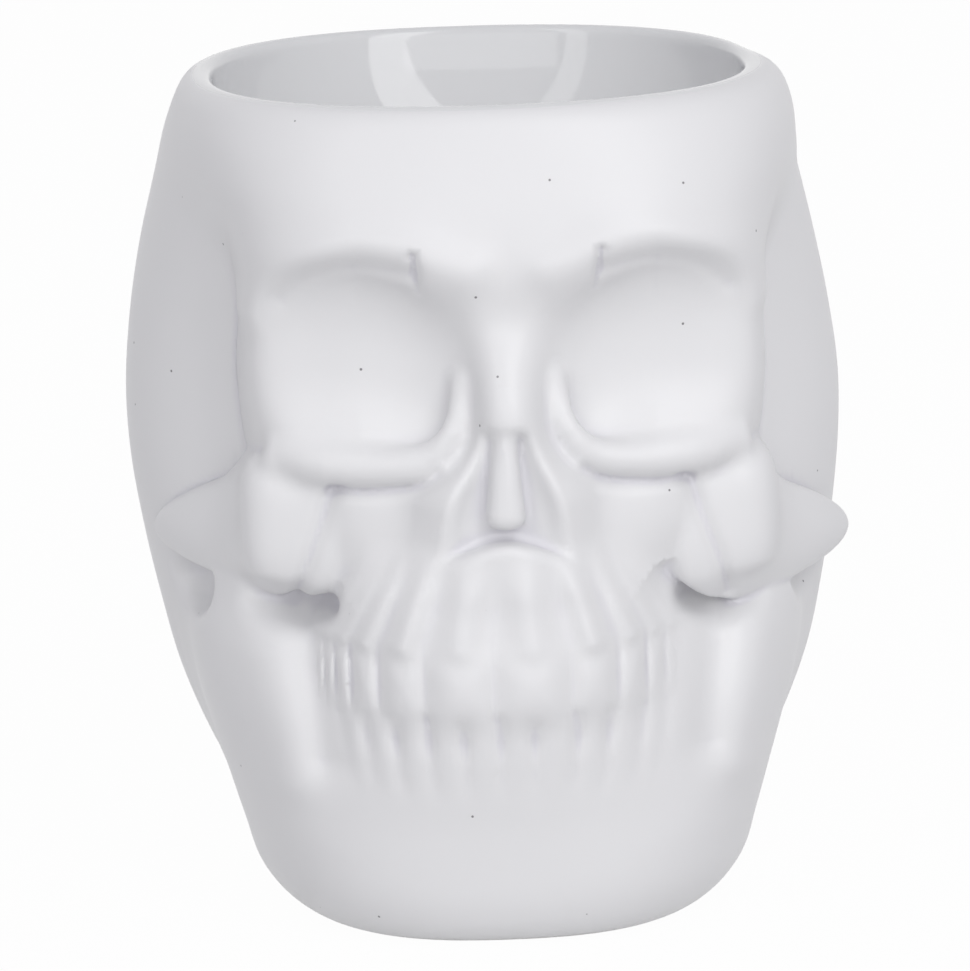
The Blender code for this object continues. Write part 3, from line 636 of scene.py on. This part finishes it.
print("outside at the widest:", extent(outside, WIDEST_LEVEL), "mm")

# %% [markdown]
# ## Dish, hollow and doorway
# The dish follows the rim a lip's width inside it. The hollow follows the plain head from inside and
# stays a wall's thickness away from the sockets, the pockets and the nose opening. The doorway is an arch
# through the back wall, with its sill level with the floor, so that the candle slides in.

# %% Dish, hollow, doorway and foot
WALL = 4.5
FLOOR = 6.0
LIP = 3.0
DISH_DEPTH = 24.0
DISH_WALL = 4.5
DISH_POWER = 2.35
DISH_ROUND = 2.5
DISH_OVER_RIM = 3.0
DISH_EDGE = 1.5
HOLLOW_FILLET = 4.0
HOLLOW_ROOF_FILLET = 6.0
DOOR_WIDTH = 42.0
DOOR_HEIGHT = 48.0
DOOR_START = 14.0
DOOR_ROUND = 2.5
SILL_ROUND = 2.0
FOOT_RING = 10.0
FOOT_RECESS = 1.5
FOOT_EDGE = 1.0


def dish(x, y, z):
    """The bowl in the crown: it follows the rim's outline a lip's width inside it."""
    half = HALF_WIDTH - CROWN_SIDE_INSETS[-1] - LIP
    front_end = -FOREHEAD_FRONTS[-1] + LIP
    back_end = BACK_REACH - CROWN_BACK_INSETS[-1] - LIP
    middle = (front_end + back_end) / 2
    reach = (back_end - front_end) / 2
    outline = (np.abs(x) / half) ** DISH_POWER + (np.abs(y - middle) / reach) ** DISH_POWER
    fall = DISH_DEPTH + DISH_OVER_RIM
    down = np.maximum(HEIGHT + DISH_OVER_RIM - z, 0) / fall
    return ((outline ** (DISH_ROUND / DISH_POWER) + down ** DISH_ROUND) ** (1 / DISH_ROUND) - 1) * fall


def chamber(x, y, z):
    """The tealight hollow: a wall inside the plain head, above the floor and below the dish."""
    ax = np.abs(x - FACE_SHIFT)
    space = plain_head(x, y, z) + WALL
    space = common(space, WALL - sockets(ax, y, z), HOLLOW_FILLET)
    space = common(space, WALL - pockets(ax, y, z), HOLLOW_FILLET)
    space = common(space, WALL - nose_opening(x, y, z), HOLLOW_FILLET)
    space = common(space, FLOOR - z, HOLLOW_FILLET)
    space = common(space, z - (HEIGHT - DISH_DEPTH), HOLLOW_ROOF_FILLET)
    return common(space, DISH_WALL - dish(x, y, z), HOLLOW_ROOF_FILLET)


def doorway(x, y, z):
    """An arch through the back wall, its sill level with the chamber's floor."""
    half = DOOR_WIDTH / 2
    spring = FLOOR + DOOR_HEIGHT - half
    arch = np.where(z > spring, np.hypot(x, z - spring), np.abs(x)) - half
    arch = common(arch, FLOOR - z, SILL_ROUND)
    return common(arch, DOOR_START - y, SILL_ROUND)


def foot_recess(x, y, z):
    """The underside inside the foot ring."""
    half = HALF_WIDTH - SIDE_INSETS[0] - FOOT_RING
    back = BACK_REACH - BACK_INSETS[0] - FOOT_RING
    front = JAW_FRONTS[0] - FOOT_RING
    reach = np.where(y < 0, front, back)
    outline = (np.abs(x) / half) ** CRANIUM_POWER + (np.abs(y) / reach) ** CRANIUM_POWER
    return common((outline ** (1 / CRANIUM_POWER) - 1) * half, z - FOOT_RECESS, FOOT_EDGE)


def clay(x, y, z):
    solid = carve(outside(x, y, z), dish(x, y, z), DISH_EDGE)
    hollow = join(chamber(x, y, z), doorway(x, y, z), FOOT_EDGE)
    solid = carve(solid, hollow, DOOR_ROUND)
    return carve(solid, foot_recess(x, y, z), FOOT_EDGE)


print("hollow at 40 mm up:", 2 * extent(chamber, 40.0), "mm wide")

# %% [markdown]
# ## Reading the field
# The field is read on a grid, finely only near the surface, because most of the space is far from it.
# Where two sheets of the surface would touch along an edge or at a point, the place is filled with clay.

# %% Read the field on a grid
# A block of the grid counts as near the surface within this many of its own widths
NEAR_SURFACE = 1.4


def field_at(points, chunk=400000):
    """The clay's field at each point, worked out a part at a time."""
    values = np.empty(len(points))
    for start in range(0, len(points), chunk):
        part = points[start:start + chunk]
        values[start:start + chunk] = clay(part[:, 0], part[:, 1], part[:, 2])
    return values


def corners(grid, shape):
    """The eight views of a grid of corners, one for each corner of its cells."""
    for i, j, k in product((0, 1), repeat=3):
        yield grid[i:i + shape[0], j:j + shape[1], k:k + shape[2]]


def sample_grid(low, high, cell, block=4):
    """The field on a grid: every block's corners, and every point of the blocks near the surface."""
    count = [int(np.ceil((b - a) / (cell * block))) for a, b in zip(low, high)]
    axes = [a + np.arange(n + 1) * cell * block for a, n in zip(low, count)]
    places = np.stack([g.ravel() for g in np.meshgrid(*axes, indexing="ij")], 1)
    rough = field_at(places).reshape([n + 1 for n in count])
    nearest = np.min([np.abs(c) for c in corners(rough, count)], axis=0)
    busy = nearest < cell * block * NEAR_SURFACE
    shape = [n * block + 1 for n in count]
    wanted = np.zeros(shape, bool)
    for view in corners(wanted, [s - 1 for s in shape]):
        view |= busy.repeat(block, 0).repeat(block, 1).repeat(block, 2)
    index = [np.minimum(np.round(np.arange(s) / block).astype(int), n) for s, n in zip(shape, count)]
    values = rough[np.ix_(*index)]
    values[wanted] = field_at(np.asarray(low) + np.argwhere(wanted) * cell)
    return values


print("clay at the middle of the floor:", bool(field_at(np.array([[0.0, 0.0, FLOOR / 2]]))[0] < 0))

# %% Keep the surface clean
SETTLE_ROUNDS = 6
BARELY_INSIDE = -0.001


def diagonal_places(inside):
    """The corners of grid squares and cells where clay, or air, touches itself across a diagonal only."""
    for u, v in ((0, 1), (0, 2), (1, 2)):
        around = list(product((0, 1), repeat=2))
        steps = np.array([[s * (a == u) + t * (a == v) for a in range(3)] for s, t in around])
        size = np.array(inside.shape) - steps[3]
        a, b, c, d = (inside[s[0]:s[0] + size[0], s[1]:s[1] + size[1], s[2]:s[2] + size[2]] for s in steps)
        for start in np.argwhere((a & d & ~b & ~c) | (b & c & ~a & ~d)):
            yield start + steps
    steps = np.array(list(product((0, 1), repeat=3)))
    views = list(corners(inside, [s - 1 for s in inside.shape]))
    within = sum(view.astype(np.int8) for view in views)
    for near in range(4):
        pair = views[near], views[7 - near]
        for start in np.argwhere((pair[0] & pair[1] & (within == 2)) | (~pair[0] & ~pair[1] & (within == 6))):
            yield start + steps


def settle_diagonals(values):
    """Fills those places with clay, where two sheets of the surface would share an edge or a point."""
    for _ in range(SETTLE_ROUNDS):
        places = list(diagonal_places(values < 0))
        for place in places:
            empty = [tuple(corner) for corner in place if values[tuple(corner)] >= 0]
            if empty:
                values[min(empty, key=lambda corner: values[corner])] = BARELY_INSIDE
        if not places:
            break
    return values


touching = np.zeros((3, 3, 3), bool)
touching[0, 0, 0] = touching[1, 1, 0] = True
print("places that touch across a diagonal in a small test:", len(list(diagonal_places(touching))))

# %% [markdown]
# ## From field to mesh
# Every grid cell that the surface crosses gets one point, and every grid edge that it crosses gets one
# quad. This is what Blender's volume-to-mesh nodes do, but here the points can be put back on the exact
# surface: they slide along the field's slope, which later gives the smooth normals as well.

# %% Points and quads
def surface_points(values, crossed):
    """One point in each crossed cell: the mean of where its edges cross the surface."""
    cells = np.argwhere(crossed)
    total = np.zeros((len(cells), 3))
    hits = np.zeros(len(cells))
    for axis in range(3):
        others = [a for a in range(3) if a != axis]
        for step in product((0, 1), repeat=2):
            start = cells.copy()
            start[:, others] += step
            end = start.copy()
            end[:, axis] += 1
            f, g = values[tuple(start.T)], values[tuple(end.T)]
            hit = (f < 0) != (g < 0)
            point = start.astype(float)
            point[:, axis] += np.where(hit, f / np.where(hit, f - g, 1), 0)
            total[hit] += point[hit]
            hits += hit
    return total / hits[:, None]


def surface_quads(inside, index):
    """A quad round each grid edge that crosses the surface, facing out of the clay."""
    shape = np.array(inside.shape)
    quads = []
    for axis in range(3):
        u, v = (axis + 1) % 3, (axis + 2) % 3
        lower = np.take(inside, range(shape[axis] - 1), axis)
        upper = np.take(inside, range(1, shape[axis]), axis)
        for order, edges in ((1, lower & ~upper), (-1, ~lower & upper)):
            start = np.argwhere(edges)
            ring = []
            for step in ((-1, -1), (0, -1), (0, 0), (-1, 0)):
                cell = start.copy()
                cell[:, [u, v]] += step
                ring.append(index[tuple(cell.T)])
            quads.append(np.stack(ring, 1)[:, ::order])
    return np.concatenate(quads)


def skin(low, high, cell):
    """The surface of the clay as points and quads."""
    values = settle_diagonals(sample_grid(low, high, cell))
    inside = values < 0
    within = sum(view.astype(np.int8) for view in corners(inside, [s - 1 for s in values.shape]))
    crossed = (within > 0) & (within < 8)
    index = np.full(crossed.shape, -1)
    index[crossed] = np.arange(crossed.sum())
    points = np.asarray(low) + surface_points(values, crossed) * cell
    return points, surface_quads(inside, index)


coarse = 5.0
_, few_quads = skin((-60.0, -65.0, -coarse), (60.0, 65.0, HEIGHT + coarse), coarse)
print("a coarse skull has", len(few_quads), "quads")

# %% Slide onto the surface
TETRAHEDRON = np.array(((1, 1, 1), (1, -1, -1), (-1, 1, -1), (-1, -1, 1)))
LEAST_SLOPE_SQUARED = 0.05


def slope_at(points, step=0.02):
    """The field and its slope at each point, from four readings round it."""
    values = [field_at(points + corner * step) for corner in TETRAHEDRON]
    slope = sum(v[:, None] * corner for v, corner in zip(values, TETRAHEDRON)) / (4 * step)
    return sum(values) / 4, slope


def pull_to_surface(points, rounds, reach):
    """Points moved along the slope onto the surface, by no more than the reach each round."""
    for _ in range(rounds):
        value, slope = slope_at(points)
        move = (value / np.maximum((slope ** 2).sum(1), LEAST_SLOPE_SQUARED))[:, None] * slope
        size = np.linalg.norm(move, axis=1, keepdims=True)
        points = points - move * np.minimum(1, reach / np.maximum(size, 1e-9))
    return points


def mesh_points(mesh):
    flat = np.empty(len(mesh.vertices) * 3)
    mesh.vertices.foreach_get("co", flat)
    return flat.reshape(-1, 3)


before = np.array([[0.0, -60.0, 20.0]])
print("a point 10 mm off the chin moves to y", round(float(pull_to_surface(before, 4, 5.0)[0, 1]), 1))

# %% Build the casting
CELL = 0.75
MOST_TRIANGLES = 190000


def thin_out(obj, triangles):
    """Decimate down to a number of triangles, as a plain mesh without the modifier."""
    obj.data.calc_loop_triangles()
    ratio = triangles / len(obj.data.loop_triangles)
    if ratio >= 1:
        return
    thin = obj.modifiers.new("Thin", "DECIMATE")
    thin.ratio = ratio
    thin.use_collapse_triangulate = True
    evaluated = obj.evaluated_get(bpy.context.evaluated_depsgraph_get())
    obj.data = bpy.data.meshes.new_from_object(evaluated)
    obj.modifiers.clear()


margin = 3.0
reach = HALF_WIDTH + 2 * margin
points, quads = skin((-reach, -reach - margin, -margin), (reach, BACK_REACH + margin, HEIGHT + margin), CELL)
mesh = bpy.data.meshes.new("skull_casting")
mesh.from_pydata(pull_to_surface(points, 1, CELL / 2).tolist(), [], quads.tolist())
skull = bpy.data.objects.new("skull_casting", mesh)
bpy.context.scene.collection.objects.link(skull)
thin_out(skull, MOST_TRIANGLES)
points = pull_to_surface(mesh_points(skull.data), 1, CELL / 3)
print("casting:", len(skull.data.polygons), "faces after", round(time.time() - began), "s")

# %% [markdown]
# ## Where the glaze differs, and where shade is painted
# The glaze is glossier in the dish and is wiped off the foot before firing. Painted shade makes the dish
# a touch greyer and the creases greyer and cooler. Each of these is worked out at the mesh's points and
# kept as an attribute for the material.

# %% Glaze masks
# Where each mask starts and where it is full: beside the dish and in it, and above the foot and under it
DISH_EDGE_RAMP = (-2.6, -1.0)
DISH_FLOOR_FADE = 4.0
BARE_DEPTH_RAMP = (-0.7, -0.2)
BARE_TILT_RAMP = (0.3, 0.9)
CREASE_REACH = 0.8
CREASE_GAIN = 2.0


def keep_attribute(mesh, name, values):
    layer = mesh.attributes.new(name, "FLOAT", "POINT")
    layer.data.foreach_set("value", values.astype(np.float32))


def hollowness(points, reach):
    """Positive in creases and negative on ridges: how much clay lies round a point on the surface."""
    around = np.array([field_at(points + corner * reach) for corner in TETRAHEDRON]).mean(0)
    return -around / reach


normal = slope_at(points)[1]
normal /= np.linalg.norm(normal, axis=1, keepdims=True)
x, y, z = points.T
dish_floor = HEIGHT - DISH_DEPTH
# The dish mask makes the dish glossy, and it also carries the dish's painted shade
in_dish = ramp(-dish(x, y, z), *DISH_EDGE_RAMP) * ramp(z, dish_floor - DISH_FLOOR_FADE, dish_floor)
bare = ramp(-z, *BARE_DEPTH_RAMP) * ramp(-normal[:, 2], *BARE_TILT_RAMP)
keep_attribute(skull.data, "dish", in_dish)
keep_attribute(skull.data, "bare", bare)
# This mask drives painted shade: the colour is mixed greyer and cooler in the creases
keep_attribute(skull.data, "crease_shade", np.clip(hollowness(points, CREASE_REACH) * CREASE_GAIN, -1, 1))
print("share in the dish:", round(float(in_dish.mean()), 3), "and bare:", round(float(bare.mean()), 3))

# %% [markdown]
# ## Into the part's frame
# The field is drawn round the skull's own middle. The part's origin is under the middle of its box, so
# the mesh is moved there and kept within the part's box. The normals come from the field, not from the
# faces.

# %% Seat it in the part's frame
low, high = points.min(0), points.max(0)
middle = (low + high) / 2 * (1, 1, 0)
cad_size = (np.array(cad_box[1]) - np.array(cad_box[0])) / MILLIMETRE
fit = np.minimum(cad_size / (high - low), 1.0)
skull.data.vertices.foreach_set("co", ((points - middle - (0, 0, low[2])) * fit * MILLIMETRE).ravel())
skull.data.shade_smooth()
skull.data.normals_split_custom_set_from_vertices(normal.tolist())
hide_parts("burner_body")
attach(skull, "root")
print("moved by", np.round(-middle, 2), "mm and scaled by", np.round(fit, 4))

# %% [markdown]
# ## Writing shader maths as Python
# A node tree is easier to read as an expression. This small class wraps a socket, and each operator adds
# the Math node that does it. Any other node comes from one method that takes its type, its settings and
# its inputs.

# %% A socket that can be reckoned with
class Value:
    """A socket in a node tree, which Python's operators work on."""

    def __init__(self, tree, socket=None):
        self.tree = tree
        self.socket = socket

    def node(self, kind, settings=None, inputs=None):
        """A node of a kind, with its settings made first and its sockets given values or links."""
        made = self.tree.nodes.new(kind)
        for name, setting in (settings or {}).items():
            setattr(made, name, setting)
        for name, given in (inputs or {}).items():
            if isinstance(given, Value):
                self.tree.links.new(given.socket, made.inputs[name])
            else:
                made.inputs[name].default_value = given
        return made

    def get(self, kind, output, settings=None, inputs=None):
        """One output of such a node."""
        return Value(self.tree, self.node(kind, settings, inputs).outputs[output])

    def math(self, operation, first, second):
        return self.get("ShaderNodeMath", 0, {"operation": operation}, {0: first, 1: second})

    def __add__(self, other):
        return self.math("ADD", self, other)

    def __sub__(self, other):
        return self.math("SUBTRACT", self, other)

    def __rsub__(self, other):
        return self.math("SUBTRACT", other, self)

    def __mul__(self, other):
        return self.math("MULTIPLY", self, other)

    __rmul__ = __mul__

    def ramp(self, start, end):
        """0 below the start and 1 above the end, smoothly."""
        inputs = {"Value": self, "From Min": start, "From Max": end}
        return self.get("ShaderNodeMapRange", 0, {"interpolation_type": "SMOOTHSTEP"}, inputs)

    def mix(self, first, second):
        """A colour that goes from the first to the second as this value goes from 0 to 1."""
        # A Mix node has sockets for every type of data: inputs 6 and 7 and output 2 are the colours
        return self.get("ShaderNodeMix", 2, {"data_type": "RGBA"}, {0: self, 6: first, 7: second})


print("operators:", [name for name in vars(Value) if name.startswith("__") and name in dir(float)])

# %% [markdown]
# ## White glaze
# Satin white outside and glossy in the dish. Painted shade makes it greyer and cooler in the creases and
# a touch greyer in the dish. It is uneven as a poured coat is, and a few pinholes show where bubbles burst
# in the kiln, their dark grey painted shade in the holes. Roughness, colour and bump vary, and everything
# that is the same all over is set on the shader itself.

# %% Glaze material
GLAZE_WHITE = (0.78, 0.78, 0.785, 1.0)
# Painted shade in the creases: greyer and cooler than the white
CREASE_SHADE_PAINT = (0.71, 0.705, 0.735, 1.0)
# Painted shade in the dish: a touch greyer than the white
DISH_SHADE_PAINT = (0.70, 0.705, 0.71, 1.0)
# Painted shade in the pinholes: dark grey where each hole is
PINHOLE_SHADE_PAINT = (0.22, 0.21, 0.22, 1.0)
BARE_CLAY = (0.74, 0.71, 0.66, 1.0)
SATIN = 0.40
GLOSSY = 0.06
BARE_ROUGHER = 0.4
CREASE_SHADE_RAMP = (0.1, 0.8)

# Pinholes: how many cells to the metre, how wide the hole in a cell, and which cells have one
PINHOLE_SPACING = 400.0
PINHOLE_EDGE = (0.05, 0.09)
PINHOLE_LOT = (0.94, 0.95)
PINHOLE_DEPTH = 0.25

# How uneven the coat is: patches of roughness, and ripples and a finer grain in the bump
PATCH_SCALE = 60.0
PATCH_AMOUNT = 0.08
RIPPLE_SCALE = 70.0
RIPPLE_HEIGHT = 0.35
GRAIN_SCALE = 420.0
GRAIN_HEIGHT = 0.05
BUMP_STRENGTH = 0.35
BUMP_DISTANCE = 0.0004
GLAZE_IOR = 1.5


def glazed_ceramic():
    material = bpy.data.materials.new("white_glaze")
    material.use_nodes = True
    tree = Value(material.node_tree)
    shader = tree.tree.nodes["Principled BSDF"]
    place = tree.get("ShaderNodeTexCoord", "Object")

    def attribute(name):
        return tree.get("ShaderNodeAttribute", "Fac", {"attribute_name": name})

    def noise(scale, detail):
        inputs = {"Vector": place, "Scale": scale, "Detail": detail}
        return tree.get("ShaderNodeTexNoise", "Fac", None, inputs)

    dish_mask = attribute("dish")
    bare_mask = attribute("bare")
    bubbles = tree.node("ShaderNodeTexVoronoi", None, {"Vector": place, "Scale": PINHOLE_SPACING})
    lot = tree.get("ShaderNodeSeparateColor", 0, None, {0: Value(tree.tree, bubbles.outputs["Color"])})
    near = 1 - Value(tree.tree, bubbles.outputs["Distance"]).ramp(*PINHOLE_EDGE)
    pinhole = near * lot.ramp(*PINHOLE_LOT) * (1 - bare_mask)
    # Painted shade: the creases, and the dish, are mixed towards darker greys
    crease_shade = attribute("crease_shade").ramp(*CREASE_SHADE_RAMP)
    colour = crease_shade.mix(dish_mask.mix(GLAZE_WHITE, DISH_SHADE_PAINT), CREASE_SHADE_PAINT)
    # The pinholes are real pits in the bump, and their dark grey is painted shade
    colour = pinhole.mix(bare_mask.mix(colour, BARE_CLAY), PINHOLE_SHADE_PAINT)
    rough = SATIN - (SATIN - GLOSSY) * dish_mask + BARE_ROUGHER * bare_mask
    rough = rough + (noise(PATCH_SCALE, 3.0) - 0.5) * PATCH_AMOUNT
    uneven = noise(RIPPLE_SCALE, 2.0) * RIPPLE_HEIGHT + noise(GRAIN_SCALE, 3.0) * GRAIN_HEIGHT
    uneven = uneven - pinhole * PINHOLE_DEPTH
    heights = {"Strength": BUMP_STRENGTH, "Distance": BUMP_DISTANCE, "Height": uneven}
    bump = tree.get("ShaderNodeBump", 0, None, heights)
    for name, value in (("Base Color", colour), ("Roughness", rough), ("Normal", bump)):
        tree.tree.links.new(value.socket, shader.inputs[name])
    shader.inputs["IOR"].default_value = GLAZE_IOR
    return material


skull.data.materials.clear()
skull.data.materials.append(glazed_ceramic())
print("glaze has", len(skull.data.materials[0].node_tree.nodes), "nodes")

# %% [markdown]
# ## The white sweep
# The photograph stands the skull on seamless white. The floor is a plain diffuse sheet that keeps a faint
# shadow, and what the camera and reflections see of it is mostly mixed to pure white, so the lamps can
# stay low.

# %% Floor and world
FLOOR_SIDE = 3.0
FLOOR_WHITE = (0.75, 0.75, 0.75, 1.0)
FLOOR_SHARE = 0.975
SKY_TINT = (0.95, 0.94, 1.0, 1.0)
SKY_LEVEL = 0.47


def white_for_camera(tree, shade, share):
    """Mixes pure white into what the camera and reflections see, and leaves the light itself alone."""
    path = tree.node("ShaderNodeLightPath")
    kinds = ("Camera", "Glossy", "Transmission")
    rays = [Value(tree.tree, path.outputs["Is %s Ray" % kind]) for kind in kinds]
    seen = tree.math("MAXIMUM", tree.math("MAXIMUM", rays[0], rays[1]), rays[2])
    white = tree.get("ShaderNodeEmission", 0, None, {"Color": (1.0, 1.0, 1.0, 1.0), "Strength": 1.0})
    return tree.get("ShaderNodeMixShader", 0, None, {0: seen * share, 1: shade, 2: white})


signs = ((-1, -1), (1, -1), (1, 1), (-1, 1))
corners_of_floor = [(across * FLOOR_SIDE, along * FLOOR_SIDE, 0) for across, along in signs]
floor_mesh = bpy.data.meshes.new("floor")
floor_mesh.from_pydata(corners_of_floor, [], [(0, 1, 2, 3)])
floor = bpy.data.objects.new("floor", floor_mesh)
bpy.context.scene.collection.objects.link(floor)
floor_material = bpy.data.materials.new("white_sweep")
floor_material.use_nodes = True
floor_material.node_tree.nodes.clear()
tree = Value(floor_material.node_tree)
matt = tree.get("ShaderNodeBsdfDiffuse", 0, None, {"Color": FLOOR_WHITE})
tree.node("ShaderNodeOutputMaterial", None, {"Surface": white_for_camera(tree, matt, FLOOR_SHARE)})
floor_mesh.materials.append(floor_material)
floor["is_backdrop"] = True

world = bpy.data.worlds.new("studio")
bpy.context.scene.world = world
world.use_nodes = True
world.node_tree.nodes.clear()
tree = Value(world.node_tree)
dim = tree.get("ShaderNodeBackground", 0, None, {"Color": SKY_TINT, "Strength": SKY_LEVEL})
tree.node("ShaderNodeOutputWorld", None, {"Surface": white_for_camera(tree, dim, 1.0)})
print("sky level", SKY_LEVEL, "and a floor", 2 * FLOOR_SIDE, "m across")

# %% [markdown]
# ## Lamps
# Two tall soft lamps stand in front, one on the right and a narrower one on the left: they are the two
# bright strips that the glossy dish reflects. A broad one behind the camera lifts the shade. It hangs so
# low that its lower part is under the floor and gives no light. The lamp on the right is the strongest
# and models the forehead and the cheeks.

# %% Lamps
AIM = (0.0, 0.0, 0.055)


def soft_light(name, place, size, power):
    lamp = bpy.data.lights.new(name, "AREA")
    lamp.shape = "RECTANGLE"
    lamp.size, lamp.size_y = size
    lamp.energy = power
    holder = bpy.data.objects.new(name, lamp)
    holder.location = place
    holder.rotation_euler = (Vector(AIM) - Vector(place)).to_track_quat("-Z", "Y").to_euler()
    bpy.context.scene.collection.objects.link(holder)
    return power


total = soft_light("key", (0.44, -0.84, 0.72), (0.38, 1.4), 4.9)
total += soft_light("strip", (-0.70, -0.84, 0.80), (0.28, 1.4), 2.0)
total += soft_light("front", (-0.10, -1.3, 0.26), (1.2, 0.9), 3.8)
print("lamps:", total, "W in all")

# %% [markdown]
# ## The camera
# A lens of about 240 mm from 0.9 m away, a little above the rim, turned a touch to one side and rolled by
# under two degrees, as the photograph was taken.

# %% Camera
CAMERA_AWAY = 900.0
CAMERA_LIFT = radians(11.55)
CAMERA_TURN = radians(-2.4)
CAMERA_ROLL = radians(1.62)
CAMERA_AIM = (-middle[0], -middle[1], 54.0)
PHOTO_WIDTH = 970
PHOTO_HEIGHT = 971
PHOTO_CENTRE = (488.5, 483.4)
PIXELS_PER_MM = 7.27

away = Vector((sin(CAMERA_TURN) * cos(CAMERA_LIFT), -cos(CAMERA_TURN) * cos(CAMERA_LIFT), sin(CAMERA_LIFT)))
right = Vector((cos(CAMERA_TURN), sin(CAMERA_TURN), 0.0))
up = away.cross(right)
turned_right = right * cos(CAMERA_ROLL) - up * sin(CAMERA_ROLL)
turned_up = right * sin(CAMERA_ROLL) + up * cos(CAMERA_ROLL)
lens = bpy.data.cameras.new("camera")
lens.sensor_width = 36.0
lens.lens = PIXELS_PER_MM * CAMERA_AWAY * lens.sensor_width / PHOTO_WIDTH
lens.shift_x = (PHOTO_WIDTH / 2 - PHOTO_CENTRE[0]) / PHOTO_WIDTH
lens.shift_y = (PHOTO_CENTRE[1] - PHOTO_HEIGHT / 2) / PHOTO_WIDTH
camera = bpy.data.objects.new("camera", lens)
place = (Vector(CAMERA_AIM) + away * CAMERA_AWAY) * MILLIMETRE
turned = Matrix((turned_right, turned_up, away)).transposed().to_4x4()
camera.matrix_world = Matrix.Translation(place) @ turned
bpy.context.scene.collection.objects.link(camera)
bpy.context.scene.camera = camera
bpy.context.scene.view_settings.view_transform = "Standard"
print("lens", round(lens.lens), "mm")

# %% [markdown]
# ## The sizes and finish
# The dressed skull should fill the part's own box. Both boxes are printed.

# %% Print the sizes and finish
visual_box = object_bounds()
print("visual box in metres:", visual_box, "after", round(time.time() - began), "s")
